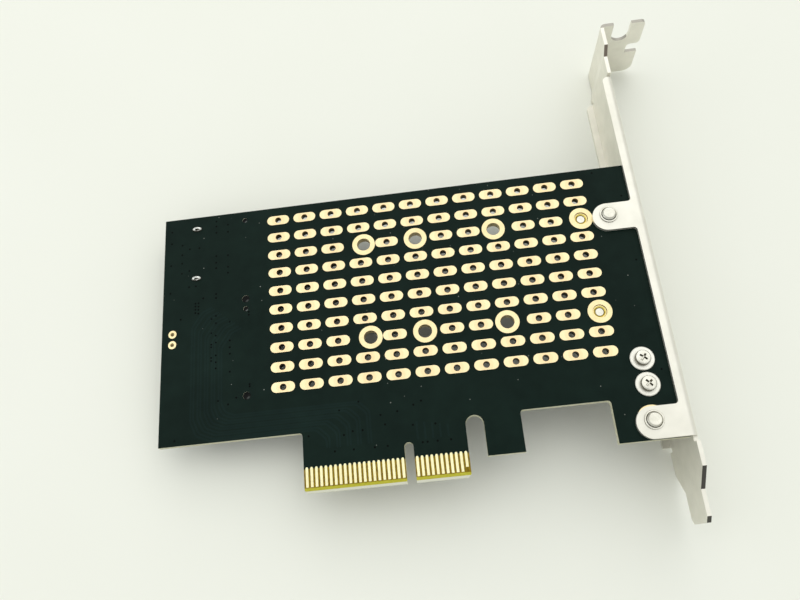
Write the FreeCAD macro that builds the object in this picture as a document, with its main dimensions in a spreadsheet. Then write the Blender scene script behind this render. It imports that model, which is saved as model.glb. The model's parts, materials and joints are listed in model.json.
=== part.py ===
"""Dual M.2 adapter card for a PCI Express x4 slot, with a full-height bracket.

Frame, in millimetres: X runs along the edge connector towards the bracket, from the middle of
the key notch. Y runs up the card, from the tip of the tongue. Z is square to the board, from its
mid-plane, with the solder side up.
"""

import FreeCAD, Part
import math
import os
import re

import Sketcher

Vector = FreeCAD.Vector

# Driving dimensions, all in millimetres. Each one is a cell of the spreadsheet.
SIZES = {
    # Board
    "board_thickness": 1.57,
    "board_left": 53.4,            # key centre to the free end
    "board_right": 56.7,           # key centre to the edge behind the bracket
    "board_height": 66.8,          # tongue tip to the top edge
    "base_line": 12.45,            # tongue tip to the board's lower edge
    "corner_radius": 0.7,
    "copper_height": 0.06,         # plating and exposed copper over the laminate
    # Tongue, key and hook
    "tongue_left": 22.15,
    "tongue_right": 12.15,
    "tongue_corner": 0.6,
    "key_width": 1.9,
    "key_depth": 8.25,
    "bevel_length": 1.0,
    "bevel_depth": 0.36,
    "slot_width": 3.8,
    "hook_width": 7.75,
    "hook_low": 3.85,
    "cutout_width": 18.7,
    "leg_low": 3.55,
    # Edge contacts
    "contact_pitch": 1.0,
    "contact_width": 0.7,
    "contact_low": 1.05,
    "contact_high": 5.3,
    "contact_short": 1.05,         # how much later the presence contacts start
    "contact_inset": 1.5,          # key centre to the contacts beside it
    # Grid of heat pads
    "pad_left": 25.95,             # key centre to the first column
    "pad_margin": 3.35,            # board's top edge to the first row
    "pad_step_x": 6.3,
    "pad_step_y": 4.51,
    "pad_length": 5.25,
    "pad_width": 2.3,
    "pad_bore": 1.5,
    "pad_height": 0.06,            # how far the plated pads stand above the laminate
    # Drive mounting holes
    "ring_diameter": 5.25,
    "ring_bore": 3.15,
    "drive_stop": 36.1,            # key centre to where a drive's card edge stops
    "longest_drive": 80.0,
    "longer_drive": 60.0,
    "shorter_drive": 42.0,
    "shortest_drive": 30.0,
    # Unfilled two-pin header
    "header_inset": 2.45,          # board's free end to the header
    "header_rise": 24.05,          # base line to the header's middle
    "header_pitch": 2.54,
    "header_ring": 2.0,
    "header_bore": 1.0,
    # Bracket
    "sheet_steel": 0.86,
    "bracket_gap": 0.45,           # board's edge to the bracket's inner face
    "bracket_width": 18.42,
    "bracket_low": -12.9,
    "tab_under": 106.3,
    "tab_length": 11.43,
    "jog_depth": 0.86,
    "jog_low": 97.2,
    "jog_high": 100.8,
    "bend_radius": 1.3,
    "flange_reach": 2.5,
    "flange_low": 3.65,
    "near_flange_high": 91.2,
    "far_flange_high": 95.6,
    "flange_corner": 1.2,
    "relief_length": 1.1,
    "relief_depth": 1.4,
    "foot_width": 10.19,
    "taper_high": -2.4,
    "taper_low": -6.5,
    "foot_corner": 1.2,
    "notch_width": 4.42,
    "notch_x": 63.7,
    "notch_depth": 5.85,
    "side_notch_width": 3.1,
    "side_notch_depth": 3.2,
    "side_notch_drop": 9.2,        # near edge to the middle of the side notch
    "tab_near_radius": 1.0,
    "tab_far_radius": 2.3,
    # Bracket ears and their screws
    "ear_length": 5.9,             # flange to the middle of the ear's round end
    "ear_width": 6.6,
    "ear_low_y": 6.95,
    "ear_high_y": 53.7,
    "ear_fillet": 0.8,
    "ear_screw_back": 0.35,        # screw's place, towards the bracket from the round end
    "ear_screw_rise": 0.5,         # ear centre line to its screw
    "ear_ring": 6.5,
    "ear_screw_diameter": 3.0,
    "ear_screw_tip": 1.0,          # how far the tip stands out of the ear
    "ear_head_diameter": 5.6,
    "ear_head_height": 2.0,
    "screw_fit": 0.04,             # radial room round every screw thread
    "board_fit": 0.2,              # radial room in the board's screw holes
    # Parked drive screws beside the bracket
    "spare_inset": 6.25,           # board's right edge to the parked screws
    "spare_rise": 8.0,             # lower ear up to the first parked screw
    "spare_pitch": 5.5,
    "washer_diameter": 5.2,
    "washer_thickness": 0.45,
    "small_screw_diameter": 2.0,
    "spare_head_diameter": 3.3,
    "spare_head_height": 1.15,
    # Brass standoffs and drive screws
    "standoff_diameter": 5.0,
    "standoff_height": 2.45,
    "barrel_diameter": 3.0,
    "barrel_length": 1.35,
    "drive_head_diameter": 4.4,
    "drive_head_height": 0.9,
    "drive_tip_drop": 0.45,        # board top down to the screw's tip
    # M.2 sockets
    "peg_ahead": 2.1,              # where a drive stops, to the peg line
    "socket_back_gap": 3.4,        # peg line to the back wall
    "socket_front_gap": 3.7,
    "socket_width": 21.9,
    "socket_height": 4.2,
    "peg_spacing": 20.1,
    "large_peg": 1.6,
    "small_peg": 1.1,
    "peg_fit": 0.05,
    "peg_drop": 0.2,
    "card_gap": 0.95,              # height of the card slot in the socket
    "card_slot_width": 19.9,
    "card_slot_depth": 4.6,
    "card_key_width": 1.2,
    "drive_key_m": 6.1,
    "drive_key_b": -5.6,
    "tail_reach": 0.9,
    "tail_thickness": 0.15,
    "clip_length": 2.2,
    "clip_thickness": 0.25,
    "clip_height": 2.2,
    # SATA port
    "port_margin": 9.55,           # board's top edge to the port's middle
    "port_width": 16.6,
    "port_height": 7.0,
    "port_depth": 9.0,
    "port_wall": 1.15,
    "port_cavity": 6.4,
    "blade_width": 10.4,
    "blade_thickness": 1.25,
    "blade_length": 5.9,
    "blade_foot": 2.4,
    "port_pitch": 1.27,
    "port_contact_width": 0.6,
    "port_contact_height": 0.12,
    "port_tail_reach": 1.2,
    "lock_inset": 7.8,
    "lock_spacing": 12.8,
    "lock_length": 2.0,
    "lock_width": 0.9,
    "lock_thickness": 0.5,
    "solder_length": 2.4,
    "solder_width": 1.25,
    "solder_height": 0.3,
    # Power supply parts
    "regulator_inset": 7.2,
    "regulator_rise": 30.95,
    "regulator_length": 6.5,
    "regulator_width": 3.5,
    "regulator_height": 1.6,
    "lead_pitch": 2.3,
    "lead_width": 0.75,
    "lead_reach": 1.7,
    "lead_thickness": 0.28,
    "inductor_inset": 7.6,
    "inductor_rise": 18.35,
    "inductor_side": 6.0,
    "inductor_height": 3.0,
    "inductor_corner": 1.0,
    "inductor_foot": 0.2,
    "can_inset": 6.4,
    "can_rise": 3.75,
    "can_pitch": 6.4,
    "can_diameter": 5.0,
    "can_height": 5.3,
    "can_base_side": 5.3,
    "can_base_height": 1.1,
    "can_base_corner": 1.2,
    "can_shoulder": 0.3,
    "can_tab_reach": 0.7,
    "can_tab_width": 0.9,
    # Chip parts: a size for signals and a size for supply
    "small_chip_length": 1.0,
    "small_chip_width": 0.5,
    "small_chip_height": 0.5,
    "chip_length": 1.6,
    "chip_width": 0.8,
    "chip_height": 0.8,
    "resistor_height": 0.45,
    "chip_end": 0.3,
    "chip_plating": 0.03,
    "coupling_inset": 2.55,        # tongue's left edge to the first of the row
    "coupling_rise": 3.3,          # edge contacts to the row
    "coupling_pitch": 2.2,
    "side_chip_gap": 2.9,          # sockets to the line of chips behind them
    "decoupling_pitch": 2.5,
    "resistor_rise": 4.15,
    "resistor_pitch": 1.9,
    "light_inset": 4.3,
    "light_drop": 22.8,
    "light_spacing": 17.0,
}

# Places worked out from the driving dimensions.
PLACES = {
    "pad_first_x": "-pad_left",
    "pad_first_y": "board_height - pad_margin",
    "long_drive_x": "longest_drive - drive_stop",
    "header_x": "header_inset - board_left",
    "header_y": "base_line + header_rise",
    "web_inner": "board_right + bracket_gap",
    "ear_reach": "flange_inner - ear_length",
    "ear_screw_x": "ear_reach + ear_screw_back",
    "spare_x": "board_right - spare_inset",
    "spare_low_y": "ear_low_y + spare_rise",
    "socket_peg_x": "peg_ahead - drive_stop",
    "port_y": "board_height - port_margin",
    "lock_x": "lock_inset - board_left",
    "regulator_x": "regulator_inset - board_left",
    "regulator_y": "base_line + regulator_rise",
    "inductor_x": "inductor_inset - board_left",
    "inductor_y": "base_line + inductor_rise",
    "can_x": "can_inset - board_left",
    "can_low_y": "base_line + can_rise",
    "coupling_x": "coupling_inset - tongue_left",
    "coupling_y": "contact_high + coupling_rise",
    "side_chip_x": "socket_back - side_chip_gap",
    "resistor_low_y": "base_line + resistor_rise",
    "light_x": "board_right - light_inset",
    "light_low_y": "board_height - light_drop",
    "board_top": "board_thickness / 2",
    "board_under": "-board_thickness / 2",
    "hook_left": "tongue_right + slot_width",
    "hook_right": "hook_left + hook_width",
    "leg_left": "hook_right + cutout_width",
    "slot_shoulder": "base_line - slot_width / 2",
    "key_shoulder": "key_depth - key_width / 2",
    "drive_row_a": "pad_first_y - 2 * pad_step_y",
    "drive_row_b": "pad_first_y - 7 * pad_step_y",
    "drive_row_gap": "5 * pad_step_y",
    "ear_under": "board_top + copper_height",
    "near_edge": "ear_under + sheet_steel",
    "far_edge": "near_edge - bracket_width",
    "middle_line": "near_edge - bracket_width / 2",
    "web_outer": "web_inner + sheet_steel",
    "tab_top": "tab_under + sheet_steel",
    "tab_end": "web_outer + tab_length",
    "flange_inner": "web_outer - flange_reach",
    "foot_near": "middle_line + foot_width / 2",
    "foot_far": "middle_line - foot_width / 2",
    "ear_screw_tip_z": "near_edge + ear_screw_tip",
    "socket_back": "socket_peg_x - socket_back_gap",
    "socket_front": "socket_peg_x + socket_front_gap",
    "socket_low": "board_under - socket_height",
    "card_slot_top": "board_under - standoff_height",
    "card_slot_low": "card_slot_top - card_gap",
    "port_mouth": "-board_left",
    "port_back": "port_mouth + port_depth",
    "port_low": "board_under - port_height",
    "port_middle": "board_under - port_height / 2",
}

BOTH_ROWS = ("drive_row_a", "drive_row_b")
NAME = re.compile(r"[a-z]+(?:_[a-z]+)+")
PAD_COLUMNS, PAD_ROWS = 12, 10
LONG_CONTACTS, SHORT_CONTACTS = 21, 11     # contacts on either side of the key
PORT_CONTACTS = 7
FINE_FLATS, PLAIN_FLATS, COARSE_FLATS = 16, 12, 6     # flats of small round shapes, by their size
PART_NODES = []

doc = FreeCAD.newDocument("adapter_card")
sheet = doc.addObject("Spreadsheet::Sheet", "Sizes")
for row, (alias, number) in enumerate(SIZES.items(), start=1):
    sheet.set(f"A{row}", alias)
    sheet.set(f"B{row}", str(number))
    sheet.setAlias(f"B{row}", alias)
doc.recompute()


# ---------------------------------------------------------------- reading and binding sizes

def spell_out(text):
    """The same sum, with every worked-out place written as driving dimensions."""
    return NAME.sub(lambda found: f"({spell_out(PLACES[found[0]])})" if found[0] in PLACES
                    else found[0], text)


def size(text):
    """The value of a sum of named sizes, in millimetres."""
    return float(sheet.evalExpression(spell_out(text)))


def bind(thing, prop, text):
    """Ties a property to a sum of named sizes."""
    thing.setExpression(prop, NAME.sub(r"Sizes.\g<0>", spell_out(text)))


# ---------------------------------------------------------------- sketches and features

def origin_part(body, role):
    return next(part for part in body.Origin.OriginFeatures if part.Role == role)


def new_body(label):
    body = doc.addObject("PartDesign::Body", label)
    body.Label = label
    return body


def new_sketch(body, plane, level="0"):
    """A sketch on one of the body's own planes, moved along that plane's normal."""
    sketch = body.newObject("Sketcher::SketchObject", f"{body.Name}_sketch")
    sketch.AttachmentSupport = [(origin_part(body, plane), "")]
    sketch.MapMode = "FlatFace"
    bind(sketch, "AttachmentOffset.Base.z", level)
    return sketch


def pin_point(sketch, element, end, across, up):
    """Holds a point of the sketch at two sums of named sizes."""
    for kind, text in (("DistanceX", across), ("DistanceY", up)):
        number = sketch.addConstraint(Sketcher.Constraint(kind, -1, 1, element, end, size(text)))
        bind(sketch, f"Constraints[{number}]", text)


def draw_outline(sketch, corners):
    """A closed outline of straight edges through corners given as pairs of sums."""
    points = [Vector(size(across), size(up), 0) for across, up in corners]
    first = sketch.GeometryCount
    for start, end in zip(points, points[1:] + points[:1]):
        sketch.addGeometry(Part.LineSegment(start, end), False)
    for number, (across, up) in enumerate(corners):
        follower = first + (number + 1) % len(corners)
        sketch.addConstraint(Sketcher.Constraint("Coincident", first + number, 2, follower, 1))
        pin_point(sketch, first + number, 1, across, up)


def draw_rectangle(sketch, left, right, low, high):
    draw_outline(sketch, [(left, low), (right, low), (right, high), (left, high)])


def draw_circle(sketch, across, up, diameter):
    place = Vector(size(across), size(up), 0)
    circle = Part.Circle(place, Vector(0, 0, 1), size(diameter) / 2)
    element = sketch.addGeometry(circle, False)
    pin_point(sketch, element, 3, across, up)
    number = sketch.addConstraint(Sketcher.Constraint("Diameter", element, size(diameter)))
    bind(sketch, f"Constraints[{number}]", diameter)


def draw_round(sketch, across, up, diameter, flats=FINE_FLATS, outside=False):
    """A small circle as a regular polygon: within it for a shaft, around it for a hole."""
    reach = f"({diameter}) / 2"
    if outside:
        reach += f" / cos({180 / flats} deg)"
    turns = [(step + 0.5) * 360 / flats for step in range(flats)]
    draw_outline(sketch, [(f"{across} + {reach} * cos({turn} deg)",
                           f"{up} + {reach} * sin({turn} deg)") for turn in turns])


def add_feature(body, kind, label, sketch):
    feature = body.newObject(f"PartDesign::{kind}", f"{body.Name}_{label}")
    feature.Profile = sketch
    body.Tip = feature
    return feature


def pad(body, label, sketch, length, flipped=False, both_ways=False):
    feature = add_feature(body, "Pad", label, sketch)
    bind(feature, "Length", length)
    feature.Reversed = flipped
    feature.SideType = "Symmetric" if both_ways else "One side"
    return feature


def pocket(body, label, sketch, length, flipped=False, both_ways=False):
    feature = add_feature(body, "Pocket", label, sketch)
    bind(feature, "Length", length)
    feature.Reversed = flipped
    feature.SideType = "Symmetric" if both_ways else "One side"
    return feature


def repeat_once(body, label, features, spacing, axis="Y_Axis"):
    """A second copy of the features, one spacing further along an axis."""
    feature = body.newObject("PartDesign::LinearPattern", f"{body.Name}_{label}")
    feature.Originals = features
    feature.Direction = (origin_part(body, axis), [""])
    bind(feature, "Length", spacing)
    feature.Occurrences = 2
    body.Tip = feature


def edges_along(shape, axis, places):
    """Names of the straight edges that run along an axis through one of the given places.

    A place maps X, Y or Z to a sum of named sizes. Both ends of the edge share it, but for the
    axis of the run, where it is the place of either end.
    """
    names = []
    for number, edge in enumerate(shape.Edges, start=1):
        if not isinstance(edge.Curve, Part.Line):
            continue
        start, end = edge.Vertexes[0].Point, edge.Vertexes[-1].Point
        run = end - start
        if abs(getattr(run, axis)) < 0.999 * run.Length:
            continue
        for place in places:
            misses = [min(abs(getattr(end, key) - size(text)) for end in (start, end))
                      for key, text in place.items()]
            if max(misses) < 0.001:
                names.append(f"Edge{number}")
                break
    return names


def dress_edges(body, kind, label, axis, places, amount):
    """A fillet or a chamfer on the edges that edges_along finds on the body so far."""
    doc.recompute()
    base = body.Tip
    names = edges_along(base.Shape, axis, places)
    if not names:
        raise RuntimeError(f"{label}: no edge to dress")
    feature = body.newObject(f"PartDesign::{kind}", f"{body.Name}_{label}")
    feature.Base = (base, names)
    bind(feature, "Radius" if kind == "Fillet" else "Size", amount)
    body.Tip = feature


def place_at(thing, x="0", y="0", z="0"):
    for key, text in (("x", x), ("y", y), ("z", z)):
        bind(thing, f"Placement.Base.{key}", text)


# ---------------------------------------------------------------- repeated plain pieces

def block(x_low, x_high, y_low, y_high, z_low, z_high):
    """A plain rectangular solid between numbers of millimetres."""
    return Part.makeBox(x_high - x_low, y_high - y_low, z_high - z_low,
                        Vector(x_low, y_low, z_low))


def centred_block(x, y, length, width, z_low, z_high):
    return block(x - length / 2, x + length / 2, y - width / 2, y + width / 2, z_low, z_high)


def add_group(label, solids):
    """One node of separate like solids, for repeats that no pattern places."""
    group = doc.addObject("Part::Feature", label)
    group.Label = label
    group.Shape = Part.makeCompound(solids)
    return group


def keep(thing):
    """Marks a finished sub-part for its own file."""
    PART_NODES.append(thing)
    return thing


# ---------------------------------------------------------------- circuit board

def drive_places():
    """Centres of the eight drive mounting holes."""
    along = ("longest_drive", "longer_drive", "shorter_drive", "shortest_drive")
    return [(size(f"{length} - drive_stop"), size(row)) for row in BOTH_ROWS for length in along]


def pad_places():
    """Centres of the heat pads: a grid that leaves out the places beside a mounting hole."""
    room = (size("pad_length") + size("ring_diameter")) / 2
    places = []
    for row in range(PAD_ROWS):
        y = size("pad_first_y") - row * size("pad_step_y")
        for column in range(PAD_COLUMNS):
            x = size("pad_first_x") + column * size("pad_step_x")
            if all(abs(x - a) > room or abs(y - b) > room / 2 for a, b in drive_places()):
                places.append((x, y))
    return places


def header_places():
    x, y, half = size("header_x"), size("header_y"), size("header_pitch") / 2
    return [(x, y - half), (x, y + half)]


def ear_screw_places():
    x, rise = size("ear_screw_x"), size("ear_screw_rise")
    return [(x, size("ear_low_y") + rise), (x, size("ear_high_y") + rise)]


def lock_places():
    x, y, half = size("lock_x"), size("port_y"), size("lock_spacing") / 2
    return [(x, y - half), (x, y + half)]


def spare_places():
    x, y = size("spare_x"), size("spare_low_y")
    return [(x, y), (x, y + size("spare_pitch"))]


def peg_places(row):
    """The large and the small locating peg of a socket."""
    x, y, half = size("socket_peg_x"), size(row), size("peg_spacing") / 2
    return (x, y - half), (x, y + half)


def prism(x, y, reach_x, reach_y, flats, z_low, z_high):
    """An upright regular prism, or a stretched one, whose corners lie at the given reaches."""
    turns = [math.radians((step + 0.5) * 360 / flats) for step in range(flats + 1)]
    corners = [Vector(x + reach_x * math.cos(turn), y + reach_y * math.sin(turn), z_low)
               for turn in turns]
    return Part.Face(Part.makePolygon(corners)).extrude(Vector(0, 0, z_high - z_low))


def drill(x, y, bore, flats, z_low, z_high):
    """A drilled hole with flats, none of which comes nearer to its axis than the bore."""
    reach = bore / 2 / math.cos(math.pi / flats)
    return prism(x, y, reach, reach, flats, z_low, z_high)


def pad_plate(x, y):
    """A long heat pad whose round ends have three flats each."""
    straight, half = (size("pad_length") - size("pad_width")) / 2, size("pad_width") / 2
    z_low = size("board_top")
    corners = []
    for side in (1, -1):
        for turn in (-90, -30, 30, 90):
            angle = math.radians(turn)
            corners.append(Vector(x + side * (straight + half * math.cos(angle)),
                                  y + side * half * math.sin(angle), z_low))
    plate = Part.Face(Part.makePolygon(corners + corners[:1]))
    return plate.extrude(Vector(0, 0, size("pad_height")))


def board_drills():
    """Everything that the drill takes out of the board and its pads."""
    low, high = size("board_under") - 1, size("board_top") + 1
    fit, peg_fit = 2 * size("board_fit"), 2 * size("peg_fit")
    drills = [Part.makeCylinder(size("ring_bore") / 2, high - low, Vector(x, y, low))
              for x, y in drive_places()]
    drills += [drill(x, y, size("pad_bore"), COARSE_FLATS, low, high) for x, y in pad_places()]
    plain = [(place, size("header_bore")) for place in header_places()]
    plain += [(place, size("ear_screw_diameter") + fit) for place in ear_screw_places()]
    plain += [(place, size("small_screw_diameter") + fit) for place in spare_places()]
    for row in BOTH_ROWS:
        large, small = peg_places(row)
        plain += [(large, size("large_peg") + peg_fit), (small, size("small_peg") + peg_fit)]
    drills += [drill(x, y, bore, PLAIN_FLATS, low, high) for (x, y), bore in plain]
    drills += [centred_block(x, y, size("lock_length") + fit / 2,
                             size("lock_thickness") + fit / 2, low, high)
               for x, y in lock_places()]
    return Part.makeCompound(drills)


def build_board():
    blank = new_body("board_blank")
    outline = new_sketch(blank, "XY_Plane", "board_under")
    draw_outline(outline, [
        ("-board_left", "base_line"), ("-tongue_left", "base_line"),
        ("-tongue_left", "tongue_corner"), ("tongue_corner - tongue_left", "0"),
        ("tongue_right - tongue_corner", "0"), ("tongue_right", "tongue_corner"),
        ("tongue_right", "slot_shoulder"), ("hook_left", "slot_shoulder"),
        ("hook_left", "hook_low"), ("hook_right", "hook_low"), ("hook_right", "base_line"),
        ("leg_left", "base_line"), ("leg_left", "leg_low"), ("board_right", "leg_low"),
        ("board_right", "board_height"), ("-board_left", "board_height")])
    pad(blank, "laminate", outline, "board_thickness")

    notches = new_sketch(blank, "XY_Plane", "board_top")
    draw_rectangle(notches, "-key_width / 2", "key_width / 2", "-tongue_corner", "key_shoulder")
    pocket(blank, "key", notches, "board_thickness")
    rounds = new_sketch(blank, "XY_Plane", "board_top")
    draw_circle(rounds, "0", "key_shoulder", "key_width")
    draw_circle(rounds, "(tongue_right + hook_left) / 2", "slot_shoulder", "slot_width")
    pocket(blank, "round_ends", rounds, "board_thickness")

    bevels = new_sketch(blank, "YZ_Plane")
    for side in ("", "-"):
        draw_outline(bevels, [
            ("-bevel_length", f"{side}(board_top - 2 * bevel_depth)"),
            ("2 * bevel_length", f"{side}(board_top + bevel_depth)"),
            ("-bevel_length", f"{side}(board_top + bevel_depth)")])
    pocket(blank, "bevel", bevels, "2 * tongue_left + 2 * tongue_right", both_ways=True)
    dress_edges(blank, "Fillet", "inner_corners", "z", [
        {"x": "hook_right", "y": "base_line"}, {"x": "leg_left", "y": "base_line"},
        {"x": "-tongue_left", "y": "base_line"}], "corner_radius")

    plated = doc.addObject("Part::MultiFuse", "plated_blank")
    pads = doc.addObject("Part::Feature", "pads")
    pads.Shape = Part.makeCompound([pad_plate(x, y) for x, y in pad_places()])
    plated.Shapes = [blank, pads]
    drills = doc.addObject("Part::Feature", "drills")
    drills.Shape = board_drills()
    board = doc.addObject("Part::Cut", "circuit_board")
    board.Label = "circuit_board"
    board.Base, board.Tool = plated, drills
    keep(board)


# ---------------------------------------------------------------- plating on the board

def ring_plate(x, y, outer, bore, flats):
    """A flat ring of plating round a hole, on the solder side."""
    low, high = size("board_top"), size("board_top") + size("copper_height")
    disc = prism(x, y, outer / 2, outer / 2, flats, low, high)
    return disc.cut(drill(x, y, bore, flats, low, high))


def build_rings():
    rings = [ring_plate(x, y, size("ring_diameter"), size("ring_bore"), FINE_FLATS)
             for x, y in drive_places()]
    ear_bore = size("ear_screw_diameter + 2 * board_fit")
    rings += [ring_plate(x, y, size("ear_ring"), ear_bore, PLAIN_FLATS)
              for x, y in ear_screw_places()]
    keep(add_group("hole_rings", rings))
    keep(add_group("header_rings", [
        ring_plate(x, y, size("header_ring"), size("header_bore"), PLAIN_FLATS)
        for x, y in header_places()]))


def contact_places():
    """X of every edge contact: the long run left of the key, the short run right of it."""
    inset, pitch = size("contact_inset"), size("contact_pitch")
    left = [-inset - k * pitch for k in range(LONG_CONTACTS)]
    return left + [inset + k * pitch for k in range(SHORT_CONTACTS)]


def build_edge_contacts():
    """Gold contacts on both faces, each with one short contact that mates last."""
    half, height = size("contact_width") / 2, size("copper_height")
    low, high, short = size("contact_low"), size("contact_high"), size("contact_short")
    places = contact_places()
    sides = (("solder_side_contacts", size("board_top"), max(places)),
             ("component_side_contacts", size("board_under") - height, min(places)))
    for label, z_low, last_to_mate in sides:
        keep(add_group(label, [
            block(x - half, x + half, low + short * (x == last_to_mate), high,
                  z_low, z_low + height) for x in places]))


# ---------------------------------------------------------------- bracket

def build_bracket():
    bracket = new_body("bracket")
    strip = new_sketch(bracket, "XY_Plane", "far_edge")
    draw_outline(strip, [
        ("web_inner", "bracket_low"), ("web_inner", "jog_low"),
        ("web_inner + jog_depth", "jog_high"), ("web_inner + jog_depth", "tab_top"),
        ("tab_end", "tab_top"), ("tab_end", "tab_under"),
        ("web_outer + jog_depth", "tab_under"), ("web_outer + jog_depth", "jog_high"),
        ("web_outer", "jog_low"), ("web_outer", "bracket_low")])
    pad(bracket, "strip", strip, "bracket_width")
    dress_edges(bracket, "Fillet", "tab_bend_outside", "z",
                [{"x": "web_inner + jog_depth", "y": "tab_top"}], "bend_radius")
    dress_edges(bracket, "Fillet", "tab_bend_inside", "z",
                [{"x": "web_outer + jog_depth", "y": "tab_under"}], "bend_radius - sheet_steel")

    for label, plane, flange_high in (("near_flange", "near_edge - sheet_steel", "near_flange_high"),
                                      ("far_flange", "far_edge", "far_flange_high")):
        flange = new_sketch(bracket, "XY_Plane", plane)
        draw_rectangle(flange, "flange_inner", "web_outer", "flange_low", flange_high)
        pad(bracket, label, flange, "sheet_steel")

    # Bend reliefs free the folded stretch of each long edge from the flat web beyond it.
    for label, edge, inward, flange_high in (("near", "near_edge", "-", "near_flange_high"),
                                             ("far", "far_edge", "+", "far_flange_high")):
        relief = new_sketch(bracket, "YZ_Plane")
        bottom = f"{edge} {inward} relief_depth"
        outside = f"{edge} {'+' if inward == '-' else '-'} relief_depth"
        draw_rectangle(relief, "flange_low - relief_length", "flange_low", bottom, outside)
        draw_rectangle(relief, flange_high, f"{flange_high} + relief_length", bottom, outside)
        pocket(bracket, f"{label}_reliefs", relief, "tab_end", flipped=True)

    dress_edges(bracket, "Fillet", "flange_corners", "z", [
        {"x": "flange_inner", "y": "near_flange_high"},
        {"x": "flange_inner", "y": "far_flange_high"}], "flange_corner")
    dress_edges(bracket, "Fillet", "fold_outside", "y", [
        {"x": "web_outer", "z": "near_edge", "y": "flange_low"},
        {"x": "web_outer", "z": "far_edge", "y": "flange_low"}], "bend_radius")

    ears = new_sketch(bracket, "XY_Plane", "near_edge - sheet_steel")
    for ear in ("ear_low_y", "ear_high_y"):
        draw_rectangle(ears, "ear_reach", "flange_inner + corner_radius",
                       f"{ear} - ear_width / 2", f"{ear} + ear_width / 2")
    pad(bracket, "ears", ears, "sheet_steel")
    tips = new_sketch(bracket, "XY_Plane", "near_edge - sheet_steel")
    for ear in ("ear_low_y", "ear_high_y"):
        draw_circle(tips, "ear_reach", ear, "ear_width")
    pad(bracket, "ear_tips", tips, "sheet_steel")
    dress_edges(bracket, "Fillet", "ear_roots", "z", [
        {"x": "flange_inner", "y": f"{ear} {sign} ear_width / 2"}
        for ear, sign in (("ear_low_y", "+"), ("ear_high_y", "-"), ("ear_high_y", "+"))],
        "ear_fillet")
    threads = new_sketch(bracket, "XY_Plane", "near_edge")
    for ear in ("ear_low_y", "ear_high_y"):
        draw_circle(threads, "ear_screw_x", f"{ear} + ear_screw_rise",
                    "ear_screw_diameter + 2 * screw_fit")
    pocket(bracket, "ear_threads", threads, "sheet_steel")

    foot = new_sketch(bracket, "YZ_Plane")
    for edge, side, away in (("near_edge", "foot_near", "+"), ("far_edge", "foot_far", "-")):
        back = "-" if away == "+" else "+"
        outside, beyond = f"{edge} {away} foot_corner", "bracket_low - foot_corner"
        draw_outline(foot, [
            ("taper_high", edge), ("taper_low", side), ("bracket_low + foot_corner", side),
            ("bracket_low", f"{side} {back} foot_corner"),
            (beyond, f"{side} {back} foot_corner"), (beyond, outside), ("taper_high", outside)])
    pocket(bracket, "foot_taper", foot, "tab_end", flipped=True)

    notches = new_sketch(bracket, "XZ_Plane", "-tab_top")
    draw_rectangle(notches, "notch_x - notch_width / 2", "notch_x + notch_width / 2",
                   "near_edge - notch_depth + notch_width / 2", "near_edge + sheet_steel")
    draw_rectangle(notches, "tab_end - side_notch_depth", "tab_end + sheet_steel",
                   "near_edge - side_notch_drop - side_notch_width / 2",
                   "near_edge - side_notch_drop + side_notch_width / 2")
    pocket(bracket, "tab_notches", notches, "sheet_steel", flipped=True)
    notch_end = new_sketch(bracket, "XZ_Plane", "-tab_top")
    draw_circle(notch_end, "notch_x", "near_edge - notch_depth + notch_width / 2", "notch_width")
    pocket(bracket, "notch_end", notch_end, "sheet_steel", flipped=True)
    dress_edges(bracket, "Fillet", "tab_near_corner", "y",
                [{"x": "tab_end", "z": "near_edge"}], "tab_near_radius")
    dress_edges(bracket, "Fillet", "tab_far_corner", "y",
                [{"x": "tab_end", "z": "far_edge"}], "tab_far_radius")
    dress_edges(bracket, "Fillet", "side_notch_corner", "y", [
        {"x": "tab_end - side_notch_depth",
         "z": "near_edge - side_notch_drop + side_notch_width / 2"},
        {"x": "tab_end", "z": "near_edge - side_notch_drop + side_notch_width / 2"}],
        "tab_near_radius")
    keep(bracket)


# ---------------------------------------------------------------- screws, washers, standoffs

def cut_cross(body, label, level, arm_length, arm_width, depth, flipped=False):
    """A cross recess in the head whose top is at level."""
    features = []
    for name, long_x, long_y in (("along", arm_length, arm_width), ("across", arm_width, arm_length)):
        arm = new_sketch(body, "XY_Plane", level)
        draw_rectangle(arm, f"-{long_x} / 2", f"{long_x} / 2", f"-{long_y} / 2", f"{long_y} / 2")
        features.append(pocket(body, f"{label}_{name}", arm, depth, flipped=flipped))
    return features


def build_round(label, layers, x, y, spacing, bore=None, cross=None):
    """Two like round pieces, a spacing apart along Y, each a stack of round layers.

    A layer is its diameter and its two levels. The bore goes through every layer.
    """
    body = new_body(label)
    features = []
    for number, (diameter, low, high) in enumerate(layers):
        sketch = new_sketch(body, "XY_Plane", low)
        draw_round(sketch, "0", "0", diameter)
        features.append(pad(body, f"layer_{number}", sketch, f"({high}) - ({low})"))
    if bore:
        sketch = new_sketch(body, "XY_Plane", layers[0][1])
        draw_round(sketch, "0", "0", bore, outside=True)
        features.append(pocket(body, "bore", sketch, f"({layers[-1][2]}) - ({layers[0][1]})",
                               flipped=True))
    if cross:
        features += cut_cross(body, "cross", *cross)
    place_at(body, x, y)
    repeat_once(body, "pair", features, spacing)
    keep(body)


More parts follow.
